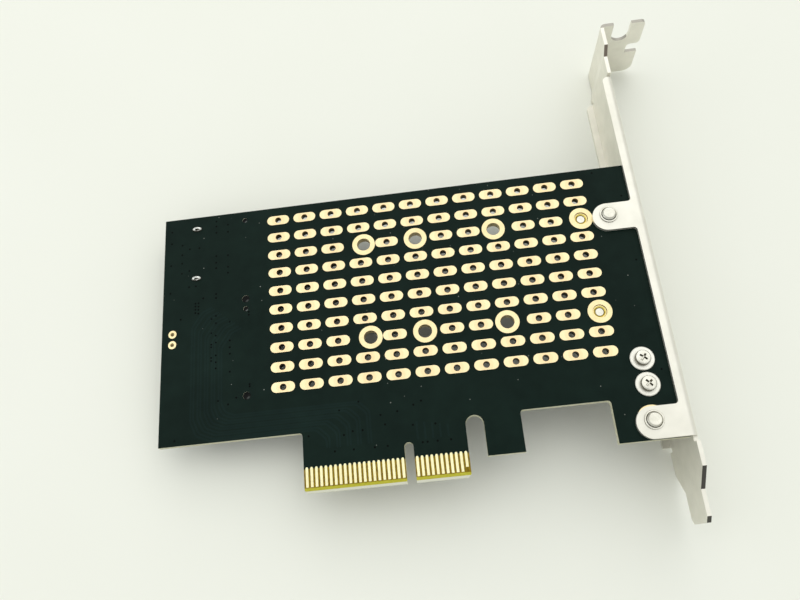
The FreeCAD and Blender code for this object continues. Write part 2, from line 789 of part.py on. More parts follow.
def build_fasteners():
    """Screws, washers and standoffs, from their lowest layer up."""
    head_low = "board_under - ear_head_height"
    build_round("bracket_screws", [
        ("ear_head_diameter * 0.8", head_low, f"{head_low} * 0.6 + board_under * 0.4"),
        ("ear_head_diameter", f"{head_low} * 0.6 + board_under * 0.4", "board_under"),
        ("ear_screw_diameter", "board_under", "ear_screw_tip_z")],
        "ear_screw_x", "ear_low_y + ear_screw_rise", "ear_high_y - ear_low_y",
        cross=(head_low, "ear_head_diameter * 0.55", "ear_head_diameter * 0.16",
               "ear_head_height * 0.6", True))

    washer_top, collar_low = "board_top + washer_thickness", "board_under - standoff_height"
    spare_top = f"{washer_top} + spare_head_height"
    bore = "small_screw_diameter + 2 * screw_fit"
    build_round("spare_washers", [("washer_diameter", "board_top", washer_top)],
                "spare_x", "spare_low_y", "spare_pitch", bore=bore)
    build_round("spare_screws", [
        ("small_screw_diameter", collar_low, washer_top),
        ("spare_head_diameter", washer_top, f"{spare_top} - spare_head_height * 0.3"),
        ("spare_head_diameter * 0.8", f"{spare_top} - spare_head_height * 0.3", spare_top)],
        "spare_x", "spare_low_y", "spare_pitch",
        cross=(spare_top, "spare_head_diameter * 0.62", "spare_head_diameter * 0.2",
               "spare_head_height * 0.6"))
    build_round("spare_standoffs", [
        ("barrel_diameter", f"{collar_low} - barrel_length", collar_low),
        ("standoff_diameter", collar_low, "board_under")],
        "spare_x", "spare_low_y", "spare_pitch", bore=bore)

    barrel_top, screw_low = "board_under + barrel_length", f"{collar_low} - drive_head_height"
    build_round("drive_standoffs", [
        ("standoff_diameter", collar_low, "board_under"),
        ("barrel_diameter", "board_under", barrel_top)],
        "long_drive_x", "drive_row_b", "drive_row_gap", bore=bore)
    build_round("drive_screws", [
        ("drive_head_diameter * 0.8", screw_low, f"{screw_low} + drive_head_height * 0.4"),
        ("drive_head_diameter", f"{screw_low} + drive_head_height * 0.4", collar_low),
        ("small_screw_diameter", collar_low, "board_top - drive_tip_drop")],
        "long_drive_x", "drive_row_b", "drive_row_gap",
        cross=(screw_low, "drive_head_diameter * 0.5", "drive_head_diameter * 0.15",
               "drive_head_height * 0.6", True))


# ---------------------------------------------------------------- M.2 sockets

def build_socket(label, row, key):
    """A moulded socket that holds a drive's card edge, with two pegs through the board.

    Each row of solder tails is joined into one strip.
    """
    body = new_body(f"{label}_housing")
    block_sketch = new_sketch(body, "XY_Plane", "socket_low")
    draw_rectangle(block_sketch, "socket_back", "socket_front",
                   f"{row} - socket_width / 2", f"{row} + socket_width / 2")
    pad(body, "moulding", block_sketch, "socket_height")
    mouth = new_sketch(body, "YZ_Plane", "socket_front")
    ends = (f"{row} - card_slot_width / 2", f"{row} + {key} - card_key_width / 2",
            f"{row} + {key} + card_key_width / 2", f"{row} + card_slot_width / 2")
    for start, end in (ends[:2], ends[2:]):
        draw_rectangle(mouth, start, end, "card_slot_low", "card_slot_top")
    pocket(body, "card_slot", mouth, "card_slot_depth")
    lead_in = new_sketch(body, "XY_Plane", "socket_low")
    draw_rectangle(lead_in, "socket_front - card_slot_depth / 3", "socket_front + card_gap",
                   ends[0], ends[3])
    pocket(body, "lead_in", lead_in, "card_slot_low - socket_low", flipped=True)
    for name, sign, diameter in (("large_peg", "-", "large_peg"), ("small_peg", "+", "small_peg")):
        peg = new_sketch(body, "XY_Plane", "board_under")
        draw_round(peg, "socket_peg_x", f"{row} {sign} peg_spacing / 2", diameter, PLAIN_FLATS)
        pad(body, name, peg, "board_thickness - peg_drop")
    keep(body)

    middle, half = size(row), size("card_slot_width") / 2
    z_high, z_low = size("board_under"), size("board_under - tail_thickness")
    reach, back, front = size("tail_reach"), size("socket_back"), size("socket_front")
    keep(add_group(f"{label}_contacts", [
        block(x, x + reach, middle - half, middle + half, z_low, z_high)
        for x in (back - reach, front)]))

    edge, thick = size("socket_width") / 2, size("clip_thickness")
    clips = []
    for side in (-1, 1):
        x, y = size("socket_peg_x"), middle + side * (edge + thick / 2)
        upright = centred_block(x, y, size("clip_length"), thick,
                                size("board_under - clip_height"), z_high)
        foot = centred_block(x, y, size("clip_length") + 4 * thick, thick, z_high - thick, z_high)
        clips.append(upright.fuse(foot).removeSplitter())
    keep(add_group(f"{label}_clips", clips))


# ---------------------------------------------------------------- SATA port

def build_port():
    """A right-angle drive-cable port on the free end of the card."""
    body = new_body("sata_port_housing")
    shell = new_sketch(body, "XY_Plane", "port_low")
    draw_rectangle(shell, "port_mouth", "port_back",
                   "port_y - port_width / 2", "port_y + port_width / 2")
    pad(body, "shell", shell, "port_height")
    cavity = new_sketch(body, "YZ_Plane", "port_mouth")
    draw_rectangle(cavity, "port_y - port_width / 2 + port_wall",
                   "port_y + port_width / 2 - port_wall",
                   "port_low + port_wall", "board_under - port_wall")
    pocket(body, "cavity", cavity, "port_cavity", flipped=True)
    blade = new_sketch(body, "YZ_Plane", "port_mouth + port_cavity")
    draw_outline(blade, [
        ("port_y - blade_width / 2", "port_middle - blade_thickness / 2"),
        ("port_y + blade_width / 2", "port_middle - blade_thickness / 2"),
        ("port_y + blade_width / 2", "port_middle + blade_thickness / 2"),
        ("port_y - blade_width / 2 + blade_thickness", "port_middle + blade_thickness / 2"),
        ("port_y - blade_width / 2 + blade_thickness", "port_middle - blade_thickness / 2 + blade_foot"),
        ("port_y - blade_width / 2", "port_middle - blade_thickness / 2 + blade_foot")])
    pad(body, "blade", blade, "blade_length", flipped=True)
    keep(body)

    middle, pitch = size("port_y"), size("port_pitch")
    half, height = size("port_contact_width") / 2, size("port_contact_height")
    tip, back = size("port_mouth + port_cavity - blade_length"), size("port_back")
    face = size("port_middle - blade_thickness / 2")
    root, under = size("port_mouth + port_cavity"), size("board_under")
    contacts = []
    for count in range(PORT_CONTACTS):
        y = middle + (count - (PORT_CONTACTS - 1) / 2) * pitch
        contacts.append(block(tip, root, y - half, y + half, face - height, face))
        contacts.append(block(back, back + size("port_tail_reach"), y - half, y + half,
                              under - 2 * height, under))
    keep(add_group("sata_port_contacts", contacts))

    top, height = size("board_top"), size("solder_height")
    locks, solder = [], []
    for x, y in lock_places():
        stem = centred_block(x, y, size("lock_length"), size("lock_thickness"), under,
                             top + height / 2)
        locks.append(stem)
        dome = prism(x, y, size("solder_length") / 2, size("solder_width") / 2, PLAIN_FLATS,
                     top, top + height)
        solder.append(dome.cut(stem))
    keep(add_group("sata_port_locks", locks))
    keep(add_group("sata_port_solder", solder))


# ---------------------------------------------------------------- power and chip parts

def build_power_parts():
    under = size("board_under")
    package = new_body("regulator_package")
    outline = new_sketch(package, "XY_Plane", "board_under - regulator_height")
    draw_rectangle(outline, "-regulator_width / 2", "regulator_width / 2",
                   "-regulator_length / 2", "regulator_length / 2")
    pad(package, "moulding", outline, "regulator_height")
    place_at(package, "regulator_x", "regulator_y")
    keep(package)

    x, y, half = size("regulator_x"), size("regulator_y"), size("regulator_width") / 2
    reach, thick = size("lead_reach"), size("lead_thickness")
    leads = [centred_block(x + half + reach / 2, y + k * size("lead_pitch"), reach,
                           size("lead_width"), under - thick, under) for k in (-1, 0, 1)]
    leads.append(centred_block(x - half - reach / 2, y, reach, 4 * size("lead_width"),
                               under - thick, under))
    keep(add_group("regulator_leads", leads))

    inductor = new_body("power_inductor")
    outline = new_sketch(inductor, "XY_Plane", "board_under - inductor_height")
    half_side = "inductor_side / 2"
    inner = "(inductor_side / 2 - inductor_corner)"
    draw_outline(outline, [
        (f"-{inner}", f"-{half_side}"), (inner, f"-{half_side}"), (half_side, f"-{inner}"),
        (half_side, inner), (inner, half_side), (f"-{inner}", half_side),
        (f"-{half_side}", inner), (f"-{half_side}", f"-{inner}")])
    pad(inductor, "core", outline, "inductor_height - inductor_foot")
    place_at(inductor, "inductor_x", "inductor_y")
    keep(inductor)
    x, y, side = size("inductor_x"), size("inductor_y"), size("inductor_side")
    foot = size("inductor_foot")
    keep(add_group("inductor_terminals", [
        centred_block(x, y + end * (side / 2 - foot * 3), side / 2, side / 5, under - foot, under)
        for end in (-1, 1)]))

    build_cans()


def build_cans():
    """Two upright aluminium capacitors, their moulded bases and their solder tabs."""
    base = new_body("capacitor_bases")
    outline = new_sketch(base, "XY_Plane", "board_under - can_base_height")
    half, inner = "can_base_side / 2", "(can_base_side / 2 - can_base_corner)"
    draw_outline(outline, [
        (f"-{half}", f"-{half}"), (inner, f"-{half}"), (half, f"-{inner}"),
        (half, inner), (inner, half), (f"-{half}", half)])
    plinth = pad(base, "plinth", outline, "can_base_height")
    place_at(base, "can_x", "can_low_y")
    repeat_once(base, "pair", [plinth], "can_pitch")
    keep(base)

    seat, end = "board_under - can_base_height", "board_under - can_height"
    build_round("bulk_capacitors", [
        ("can_diameter - 2 * can_shoulder", end, f"{end} + can_shoulder"),
        ("can_diameter", f"{end} + can_shoulder", seat)], "can_x", "can_low_y", "can_pitch")

    x, under = size("can_x"), size("board_under")
    edge, reach, width = size("can_base_side") / 2, size("can_tab_reach"), size("can_tab_width")
    tabs = [centred_block(x + side * (edge + reach / 2), size("can_low_y") + k * size("can_pitch"),
                          reach, width, under - size("tail_thickness"), under)
            for k in range(2) for side in (-1, 1)]
    keep(add_group("capacitor_tabs", tabs))


def chip_core(x, y, length, width, height):
    """The ceramic middle of a chip part that lies along Y under the board."""
    under, end = size("board_under"), size("chip_end")
    return centred_block(x, y, width, length - 2 * end, under - height, under)


def chip_ends(x, y, length, width, height):
    """The two plated ends of the same chip part, a shade fatter than its middle."""
    under, end, more = size("board_under"), size("chip_end"), size("chip_plating")
    return [centred_block(x, y + side * (length - end) / 2, width + 2 * more, end,
                          under - height - more, under) for side in (-1, 1)]


def build_chips():
    """Small parts on the component side: signal coupling, supply filtering, status lights."""
    small = [size(f"small_chip_{word}") for word in ("length", "width", "height")]
    large = [size(f"chip_{word}") for word in ("length", "width", "height")]
    x, y = size("coupling_x"), size("coupling_y")
    coupling = [(x + k * size("coupling_pitch"), y, *small) for k in range(8)]
    x = size("side_chip_x")
    decoupling = [(x, size(row) + k * size("decoupling_pitch"), *large)
                  for row in BOTH_ROWS for k in (-1, 0, 1)]
    low, pitch = size("resistor_low_y"), size("resistor_pitch")
    resistors = [(x, low + k * pitch, *small[:2], size("resistor_height")) for k in range(4)]
    x, low = size("light_x"), size("light_low_y")
    lights = [(x, low + k * size("light_spacing"), *large) for k in range(2)]
    groups = (("coupling_capacitors", coupling), ("decoupling_capacitors", decoupling),
              ("resistors", resistors), ("status_lights", lights))
    for label, chips in groups:
        keep(add_group(label, [chip_core(*chip) for chip in chips]))
    keep(add_group("chip_terminals", [
        cap for _, chips in groups for chip in chips for cap in chip_ends(*chip)]))


build_board()
build_rings()
build_edge_contacts()
build_bracket()
build_fasteners()
build_socket("nvme_socket", "drive_row_a", "drive_key_m")
build_socket("sata_drive_socket", "drive_row_b", "drive_key_b")
build_port()
build_power_parts()
build_chips()

doc.recompute()
for thing in doc.Objects:
    if "Invalid" in thing.State or "Error" in thing.State:
        raise RuntimeError(f"{thing.Label} failed: {thing.State}")
os.makedirs("parts", exist_ok=True)
for thing in PART_NODES:
    if thing.Shape.isNull() or not thing.Shape.isValid():
        raise RuntimeError(f"{thing.Label} has no valid shape")
    thing.Shape.exportStep(f"parts/{thing.Label}.step")
    print(f"{thing.Label}: {len(thing.Shape.Solids)} solid(s), {thing.Shape.Volume:.2f} mm3")
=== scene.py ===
# %% [markdown]
# # A two-drive adapter card, lying on its parts
# The card is a black circuit board with a folded, nickel-plated bracket. Its bare side is up, with
# a field of gold heat pads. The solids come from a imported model, the frame. The places of the new
# pieces are read from it, so that each piece lies where its solid does.

# %% Load the frame
import json
import math

import bmesh
import bpy
from mathutils import Matrix, Vector

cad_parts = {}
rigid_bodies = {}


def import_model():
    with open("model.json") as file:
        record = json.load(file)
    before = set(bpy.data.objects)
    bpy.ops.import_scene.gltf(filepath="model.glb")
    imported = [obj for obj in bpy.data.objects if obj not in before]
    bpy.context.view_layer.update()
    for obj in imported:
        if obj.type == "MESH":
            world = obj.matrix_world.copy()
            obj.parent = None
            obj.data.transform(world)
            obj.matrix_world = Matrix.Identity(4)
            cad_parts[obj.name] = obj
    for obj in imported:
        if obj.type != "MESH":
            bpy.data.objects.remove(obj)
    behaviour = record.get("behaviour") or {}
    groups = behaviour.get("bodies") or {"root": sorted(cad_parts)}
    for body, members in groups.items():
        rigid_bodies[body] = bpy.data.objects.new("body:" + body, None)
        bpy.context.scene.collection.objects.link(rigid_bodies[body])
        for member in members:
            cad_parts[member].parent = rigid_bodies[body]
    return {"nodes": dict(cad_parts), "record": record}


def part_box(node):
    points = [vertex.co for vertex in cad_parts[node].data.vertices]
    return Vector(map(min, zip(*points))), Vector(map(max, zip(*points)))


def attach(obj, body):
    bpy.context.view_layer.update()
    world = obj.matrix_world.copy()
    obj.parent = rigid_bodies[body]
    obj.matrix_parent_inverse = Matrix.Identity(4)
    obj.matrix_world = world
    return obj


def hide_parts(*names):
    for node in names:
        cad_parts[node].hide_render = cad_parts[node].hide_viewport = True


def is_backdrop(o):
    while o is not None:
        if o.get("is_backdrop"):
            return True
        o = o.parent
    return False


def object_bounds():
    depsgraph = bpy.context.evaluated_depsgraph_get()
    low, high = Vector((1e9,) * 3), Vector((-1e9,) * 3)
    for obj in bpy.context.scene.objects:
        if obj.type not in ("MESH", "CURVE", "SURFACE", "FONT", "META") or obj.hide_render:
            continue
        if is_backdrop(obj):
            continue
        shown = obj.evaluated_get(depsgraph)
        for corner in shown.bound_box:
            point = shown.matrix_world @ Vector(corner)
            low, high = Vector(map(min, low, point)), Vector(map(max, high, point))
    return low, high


for leftover in list(bpy.data.objects):
    bpy.data.objects.remove(leftover)

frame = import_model()
cad_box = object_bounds()
nodes = frame["nodes"]
MM = 0.001


def box_mm(node):
    """The low and the high corner of a node's box, in millimetres."""
    return [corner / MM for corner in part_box(node)]


board_low, board_high = box_mm("circuit_board")
board_under = board_low.z
board_top = -board_under
pad_top = board_high.z
print("board", [round(side, 2) for side in board_high - board_low], "mm, with", len(nodes), "nodes")

# %% [markdown]
# ## Small helpers for node trees
# Materials and repeated shapes are both made of nodes. One helper adds a node, sets it up and joins
# its inputs, so that each recipe below reads from top to bottom.

# %% Node helpers
def place(tree, kind, settings=None, feeds=None):
    """Adds a node. Each feed is a plain value, or the output of another node."""
    made = tree.nodes.new(kind)
    for label, value in (settings or {}).items():
        setattr(made, label, value)
    for socket, value in (feeds or {}).items():
        if isinstance(value, bpy.types.NodeSocket):
            tree.links.new(value, made.inputs[socket])
        else:
            made.inputs[socket].default_value = value
    return made


def calc(tree, operation, first, second=0.0, third=0.0):
    """One sum, comparison or curve of numbers."""
    kind = "ShaderNodeMath"
    return place(tree, kind, {"operation": operation}, {0: first, 1: second, 2: third}).outputs[0]


def ramp(tree, value, start, end, low=0.0, high=1.0):
    """Turns start..end into low..high, and holds it there."""
    return place(tree, "ShaderNodeMapRange", None,
                 {0: value, 1: start, 2: end, 3: low, 4: high}).outputs[0]


def mix_colours(tree, share, first, second):
    return place(tree, "ShaderNodeMix", {"data_type": "RGBA"},
                 {0: share, 6: first, 7: second}).outputs[2]


def split(tree, vector):
    """The X, Y and Z of a vector."""
    return place(tree, "ShaderNodeSeparateXYZ", None, {0: vector}).outputs


def facing_of(tree):
    """The way a face looks, as X, Y and Z."""
    return split(tree, place(tree, "ShaderNodeNewGeometry").outputs["Normal"])


print("node helpers:", place.__name__, calc.__name__, ramp.__name__, mix_colours.__name__)

# %% [markdown]
# ## Colours as a screen shows them
# A screen colour is stored on a curve that suits the eye, while Blender's sockets take plain light.
# A colour picker converts it by hand. A small function does it here, so that each finish below can
# give its tones in the numbers from 0 to 255 that a screen shows.

# %% Colours
def paint(red, green, blue):
    """A colour as seen on a screen, 0 to 255, turned into light."""
    def light(part):
        part = part / 255
        return part / 12.92 if part <= 0.04045 else ((part + 0.055) / 1.055) ** 2.4
    return (light(red), light(green), light(blue), 1.0)


print("half grey on a screen is", round(paint(128, 128, 128)[0], 3), "as light")

# %% [markdown]
# ## Effects that several finishes share
# Real surfaces are never one flat colour. Four small groups give the uneven tone of a coat, the
# fine grain that breaks up a highlight, the edges with their wear and painted highlights, and the
# specks of dust that settle on what looks up. They could be drawn again in each material, but a
# group is built once and takes its own numbers in each. It gives only a mask or a height, and the
# finish decides what it does.

# %% An empty effect
def effect(name, sizes, results):
    """An empty shader group with named inputs and outputs."""
    group = bpy.data.node_groups.new(name, "ShaderNodeTree")
    for label, value in sizes:
        kind = "NodeSocketVector" if value is None else "NodeSocketFloat"
        socket = group.interface.new_socket(label, in_out="INPUT", socket_type=kind)
        if value is not None:
            socket.default_value = value
    for label in results:
        group.interface.new_socket(label, in_out="OUTPUT", socket_type="NodeSocketFloat")
    given = group.nodes.new("NodeGroupInput").outputs
    return group, given, group.nodes.new("NodeGroupOutput").inputs


print("effects so far:", len(bpy.data.node_groups))

# %% [markdown]
# ## An uneven coat
# Lacquer and plating lie a little thicker in some places than in others. A painted mask could show
# it, but noise needs no image and runs on over every face. Wide clouds carry a finer mottle, so
# that the tone varies at two scales.

# %% Uneven coat
def make_uneven_coat():
    """Slow clouds with a finer mottle in them, 0 to 1."""
    group, given, result = effect("uneven coat", (("Place", None), ("Patch", 0.01)), ("Cloud",))
    scale = calc(group, "DIVIDE", 1.0, given["Patch"])
    wide = place(group, "ShaderNodeTexNoise", None,
                 {"Vector": given["Place"], "Scale": scale, "Detail": 3.0, "Roughness": 0.6})
    finer = calc(group, "MULTIPLY", scale, 7.0)
    small = place(group, "ShaderNodeTexNoise", None,
                  {"Vector": given["Place"], "Scale": finer, "Detail": 2.0})
    both = calc(group, "MULTIPLY_ADD", small.outputs[0], 0.35, calc(
        group, "MULTIPLY", wide.outputs[0], 0.65))
    group.links.new(ramp(group, both, 0.32, 0.68), result["Cloud"])
    return group


UNEVEN_COAT = make_uneven_coat()
print("effect:", UNEVEN_COAT.name, "with", len(UNEVEN_COAT.nodes), "nodes")

# %% [markdown]
# ## A fine grain
# Cast, pressed and plated faces are rough at a size that is too small to model. A height from a
# noise breaks up their highlights instead. Rolled sheet has its grain drawn out one way, so the
# group can stretch the noise along Y.

# %% Fine grain
def make_fine_grain():
    """A height for the tiny roughness of paint, casting or plating, drawn out along Y if asked."""
    group, given, result = effect(
        "fine grain", (("Place", None), ("Grain", 0.0004), ("Drawn out", 1.0)), ("Height",))
    parts = split(group, given["Place"])
    along = calc(group, "DIVIDE", parts[1], given["Drawn out"])
    drawn = place(group, "ShaderNodeCombineXYZ", None, {0: parts[0], 1: along, 2: parts[2]})
    scale = calc(group, "DIVIDE", 1.0, given["Grain"])
    grain = place(group, "ShaderNodeTexNoise", None,
                  {"Vector": drawn.outputs[0], "Scale": scale, "Detail": 2.0})
    group.links.new(grain.outputs[0], result["Height"])
    return group


FINE_GRAIN = make_fine_grain()
print("effect:", FINE_GRAIN.name, "with", len(FINE_GRAIN.nodes), "nodes")

# %% [markdown]
# ## Worn and lit edges
# Corners lose their coat first, where hands and tools touch them, and a rounded corner catches a
# thin line of light. The nickel's darker edge tone is wear, and the lighter edge tones of the other
# finishes are painted highlights. The edges could be marked by hand on each mesh, but the Bevel
# node finds them by itself: it gives the direction of a rounded corner, and wherever that differs
# from the flat face's own direction there is an edge.

# %% Worn and lit edges
def make_rubbed_edges():
    """1 on sharp edges, fading over the given width, and broken up by a fine noise."""
    group, given, result = effect("rubbed edges", (("Place", None), ("Width", 0.0002)), ("Edge",))
    rounded = place(group, "ShaderNodeBevel", {"samples": 4}, {"Radius": given["Width"]})
    flat = place(group, "ShaderNodeNewGeometry").outputs["Normal"]
    same = place(group, "ShaderNodeVectorMath", {"operation": "DOT_PRODUCT"},
                 {0: rounded.outputs[0], 1: flat}).outputs["Value"]
    edge = ramp(group, same, 0.995, 0.90)
    patchy = place(group, "ShaderNodeTexNoise", None, {"Vector": given["Place"], "Scale": 900.0})
    group.links.new(calc(group, "MULTIPLY", edge, ramp(group, patchy.outputs[0], 0.35, 0.6)),
                    result["Edge"])
    return group


RUBBED_EDGES = make_rubbed_edges()
print("effect:", RUBBED_EDGES.name, "with", len(RUBBED_EDGES.nodes), "nodes")

# %% [markdown]
# ## Settled dust
# Dust lies on what looks up and not on walls. Loose specks would be thousands of tiny meshes. A
# cell pattern gives each speck a cell of its own instead, and the cell's random colour decides
# whether it holds a speck, how large the speck is and how faint.

# %% Settled dust
LOOKS_UP = 0.7


def make_settled_dust():
    """Soft tiny specks on faces that look up, each in its own cell, some fainter than others."""
    group, given, result = effect(
        "settled dust", (("Place", None), ("Spacing", 0.004), ("Share", 0.3)), ("Speck",))
    scale = calc(group, "DIVIDE", 1.0, given["Spacing"])
    cells = place(group, "ShaderNodeTexVoronoi", {"voronoi_dimensions": "2D"},
                  {"Vector": given["Place"], "Scale": scale})
    picked = place(group, "ShaderNodeSeparateColor", None, {0: cells.outputs["Color"]}).outputs
    chosen = calc(group, "LESS_THAN", picked[0], given["Share"])
    size = calc(group, "MULTIPLY_ADD", picked[1], 0.030, 0.022)
    dot = ramp(group, calc(group, "DIVIDE", cells.outputs["Distance"], size), 1.0, 0.3)
    faint = calc(group, "MULTIPLY", calc(group, "MULTIPLY", dot, picked[2]), 0.6)
    level = facing_of(group)[2]
    settled = calc(group, "MULTIPLY", chosen, calc(group, "GREATER_THAN", level, LOOKS_UP))
    group.links.new(calc(group, "MULTIPLY", faint, settled), result["Speck"])
    return group


SETTLED_DUST = make_settled_dust()
print("shared effects:", ", ".join(group.name for group in bpy.data.node_groups))

# %% [markdown]
# ## One recipe for every finish
# Each finish has a dark and a light tone with clouds between them, a roughness that follows the
# same clouds and a bump from its grain. Edge tones for wear and for painted highlights, a zone of
# its own colour and a little dust are added where they are asked for. What is the same all over,
# such as how metallic it is, is set straight on the shader.

# %% Parts of a finish
def use(tree, group, feeds):
    return place(tree, "ShaderNodeGroup", {"node_tree": group}, feeds).outputs


def new_finish(name):
    finish = bpy.data.materials.new(name)
    finish.use_nodes = True
    tree = finish.node_tree
    shader = tree.nodes["Principled BSDF"]
    return finish, tree, shader, place(tree, "ShaderNodeTexCoord").outputs["Object"]


def close_finish(tree, shader, colour, roughness, grain, strength, height):
    """Joins the colour, the roughness and the bump of a grain to the shader."""
    bump = place(tree, "ShaderNodeBump", None,
                 {"Strength": strength, "Distance": height * MM, "Height": grain})
    tree.links.new(colour, shader.inputs["Base Color"])
    tree.links.new(roughness, shader.inputs["Roughness"])
    tree.links.new(bump.outputs[0], shader.inputs["Normal"])


print("materials that came with the solids:", len(bpy.data.materials))

# %% [markdown]
# ## The recipe itself
# A node tree could be drawn by hand for each of two dozen materials. They differ only in numbers,
# so one function builds them all and the numbers become its arguments.

# %% The finish recipe
DUST_COLOUR, DUST_SPACING = paint(215, 216, 208), 0.003


def make_finish(name, dark, light, rough, metallic=0.0, specular=0.5, patch=6.0, grain=0.25,
                drawn_out=1.0, height=0.004, edge=None, edge_width=0.12, worn=0.6, dust=0.0,
                zone=None):
    """Sizes are in millimetres. rough is the roughness in the dark and in the light clouds. zone
    gives a share from a face's direction and place, and a colour for it."""
    finish, tree, shader, spot = new_finish(name)
    cloud = use(tree, UNEVEN_COAT, {"Place": spot, "Patch": patch * MM})[0]
    colour = mix_colours(tree, cloud, dark, light)
    if zone:
        share, tone = zone(tree, facing_of(tree), spot)
        colour = mix_colours(tree, share, colour, tone)
    roughness = ramp(tree, cloud, 0.0, 1.0, rough[0], rough[1])
    # A darker edge tone stands for wear, and a lighter one is a painted highlight on the edge.
    if edge:
        rubbed = use(tree, RUBBED_EDGES, {"Place": spot, "Width": edge_width * MM})[0]
        rubbed = calc(tree, "MULTIPLY", rubbed, worn)
        colour = mix_colours(tree, rubbed, colour, edge)
    if dust:
        speck = use(tree, SETTLED_DUST, {"Place": spot, "Spacing": DUST_SPACING, "Share": dust})[0]
        colour = mix_colours(tree, speck, colour, DUST_COLOUR)
        roughness = calc(tree, "MAXIMUM", roughness, calc(tree, "MULTIPLY", speck, 0.9))
    bumps = use(tree, FINE_GRAIN, {"Place": spot, "Grain": grain * MM, "Drawn out": drawn_out})[0]
    close_finish(tree, shader, colour, roughness, bumps, 0.6, height)
    shader.inputs["Metallic"].default_value = metallic
    shader.inputs["Specular IOR Level"].default_value = specular
    return finish


print("the recipe takes", make_finish.__code__.co_argcount, "values")

# %% [markdown]
# ## Metals
# The bracket and the washers are pressed steel with a satin nickel plate: bright, but with a soft
# highlight and a faint drawn grain along the sheet. Gold plating on the pads is thin and a little
# pink over nickel. Standoffs are turned brass, and the screws are bright zinc-plated steel.
#
# Some faces of a turned piece look unlike the rest: the steep walls of a screw's cross and thread
# are painted darker as shade, and the faced flats of brass are painted paler as a reflection of
# the room. The faces could be sorted into two materials, but a zone that is worked out from the
# way a face looks needs no sorting.

# %% Zones of turned pieces
OILY, WIPED = paint(84, 76, 50), paint(240, 226, 172)


def dark_walls(tree, facing, spot):
    """Steep walls of screws and solder domes are painted darker as shade; flats keep their tone."""
    upright = calc(tree, "ABSOLUTE", facing[2])
    return ramp(tree, upright, 0.75, 0.35, 0.0, 0.85), OILY


def pale_flats(tree, facing, spot):
    """The faced flats of a turned piece are painted paler than its cones, as a painted reflection.
    """
    upright = calc(tree, "ABSOLUTE", facing[2])
    return ramp(tree, upright, 0.96, 0.995), WIPED


print("zones:", dark_walls.__name__, "and", pale_flats.__name__)

# %% [markdown]
# ## Sheared edges of the bracket
# The press cuts the sheet after it is plated, so the narrow faces of the step and the tab are bare
# and turn brown. The slanted faces at the foot that look towards the tongue are near black. They
# could be picked out face by face. Here a face belongs to the zone by its place along the sheet and
# by the way it looks. The places are plain numbers, to be set again if the sheet's bends move.

# %% Sheared edges
def between(tree, value, low, high):
    return calc(tree, "MULTIPLY", calc(tree, "GREATER_THAN", value, low * MM),
                calc(tree, "LESS_THAN", value, high * MM))


JOG, TAB_UNDER, FOOT_TOP = (97.2, 100.8), 106.1, 3.0
PAST_ENDS = 200.0
BROWN_STEEL, DARK_STEEL = paint(64, 49, 35), paint(22, 17, 11)
TAB_SHARE, BARE_SHARE = 0.6, 0.92


def sheared_edges(tree, facing, spot):
    """The share of a darker tone on a bracket face, brown at the step and tab, near black at the
    foot.
    """
    along = split(tree, spot)[1]
    at_tab = calc(tree, "MULTIPLY", between(tree, along, TAB_UNDER, PAST_ENDS), TAB_SHARE)
    at_top = calc(tree, "MAXIMUM", between(tree, along, *JOG), at_tab)
    upper = calc(tree, "MULTIPLY", calc(tree, "GREATER_THAN", facing[2], 0.5), at_top)
    slanted = calc(tree, "MULTIPLY", calc(tree, "LESS_THAN", facing[1], -0.3),
                   calc(tree, "GREATER_THAN", facing[2], 0.3))
    lower = calc(tree, "MULTIPLY", slanted, between(tree, along, -PAST_ENDS, FOOT_TOP))
    tone = mix_colours(tree, lower, BROWN_STEEL, DARK_STEEL)
    return calc(tree, "MULTIPLY", calc(tree, "MAXIMUM", upper, lower), BARE_SHARE), tone


print("bare edges from", JOG[0], "to", JOG[1], "mm, over", TAB_UNDER, "and under", FOOT_TOP)

# %% [markdown]
# ## The metals in numbers
# Each finish is the recipe with its own tones, roughness and grain. There are two golds, because
# the rings are plated thin over nickel and the contacts get a harder coat of a paler yellow, which
# has to stand being plugged in. Roughness falls where a cloud is light, as on polished metal.

# %% Metal finishes
# The washers' nickel is painted a few steps lighter than the bracket's, to make up for the shade
# that the screw heads throw on the washers.
nickel = make_finish("satin nickel plate", paint(232, 230, 220), paint(246, 244, 236), (0.44, 0.38),
                     metallic=0.75, patch=22.0, grain=0.3, drawn_out=6.0, height=0.0015,
                     edge=paint(150, 138, 112), edge_width=0.08, worn=0.35, dust=0.10)
bracket_nickel = make_finish(
    "nickel plate with sheared edges", paint(222, 220, 209), paint(240, 237, 227), (0.44, 0.38),
    metallic=0.75, patch=22.0, grain=0.3, drawn_out=6.0, height=0.0015, dust=0.10,
    zone=sheared_edges)
# The lighter edge tones of the gold, brass, tin and aluminium are painted highlights.
gold = make_finish("thin gold plate", paint(229, 210, 160), paint(238, 221, 176), (0.36, 0.24),
                   metallic=0.85, patch=2.6, grain=0.12, height=0.002,
                   edge=paint(246, 228, 184), edge_width=0.05, worn=0.4, dust=0.05)
strip_gold = make_finish("hard gold on the contacts", paint(236, 227, 176), paint(244, 238, 194),
                         (0.36, 0.24), metallic=0.85, patch=2.6, grain=0.12, height=0.002,
                         edge=paint(248, 238, 196), edge_width=0.05, worn=0.4, dust=0.05)
steel = make_finish("bright zinc-plated steel", paint(206, 203, 190), paint(232, 230, 220),
                    (0.36, 0.22), metallic=0.9, patch=1.4, grain=0.1, height=0.002,
                    zone=dark_walls)
brass = make_finish("turned brass", paint(228, 202, 98), paint(248, 228, 132), (0.36, 0.22),
                    metallic=0.95, patch=1.8, grain=0.1, height=0.002,
                    edge=paint(250, 232, 170), edge_width=0.06, worn=0.5, zone=pale_flats)
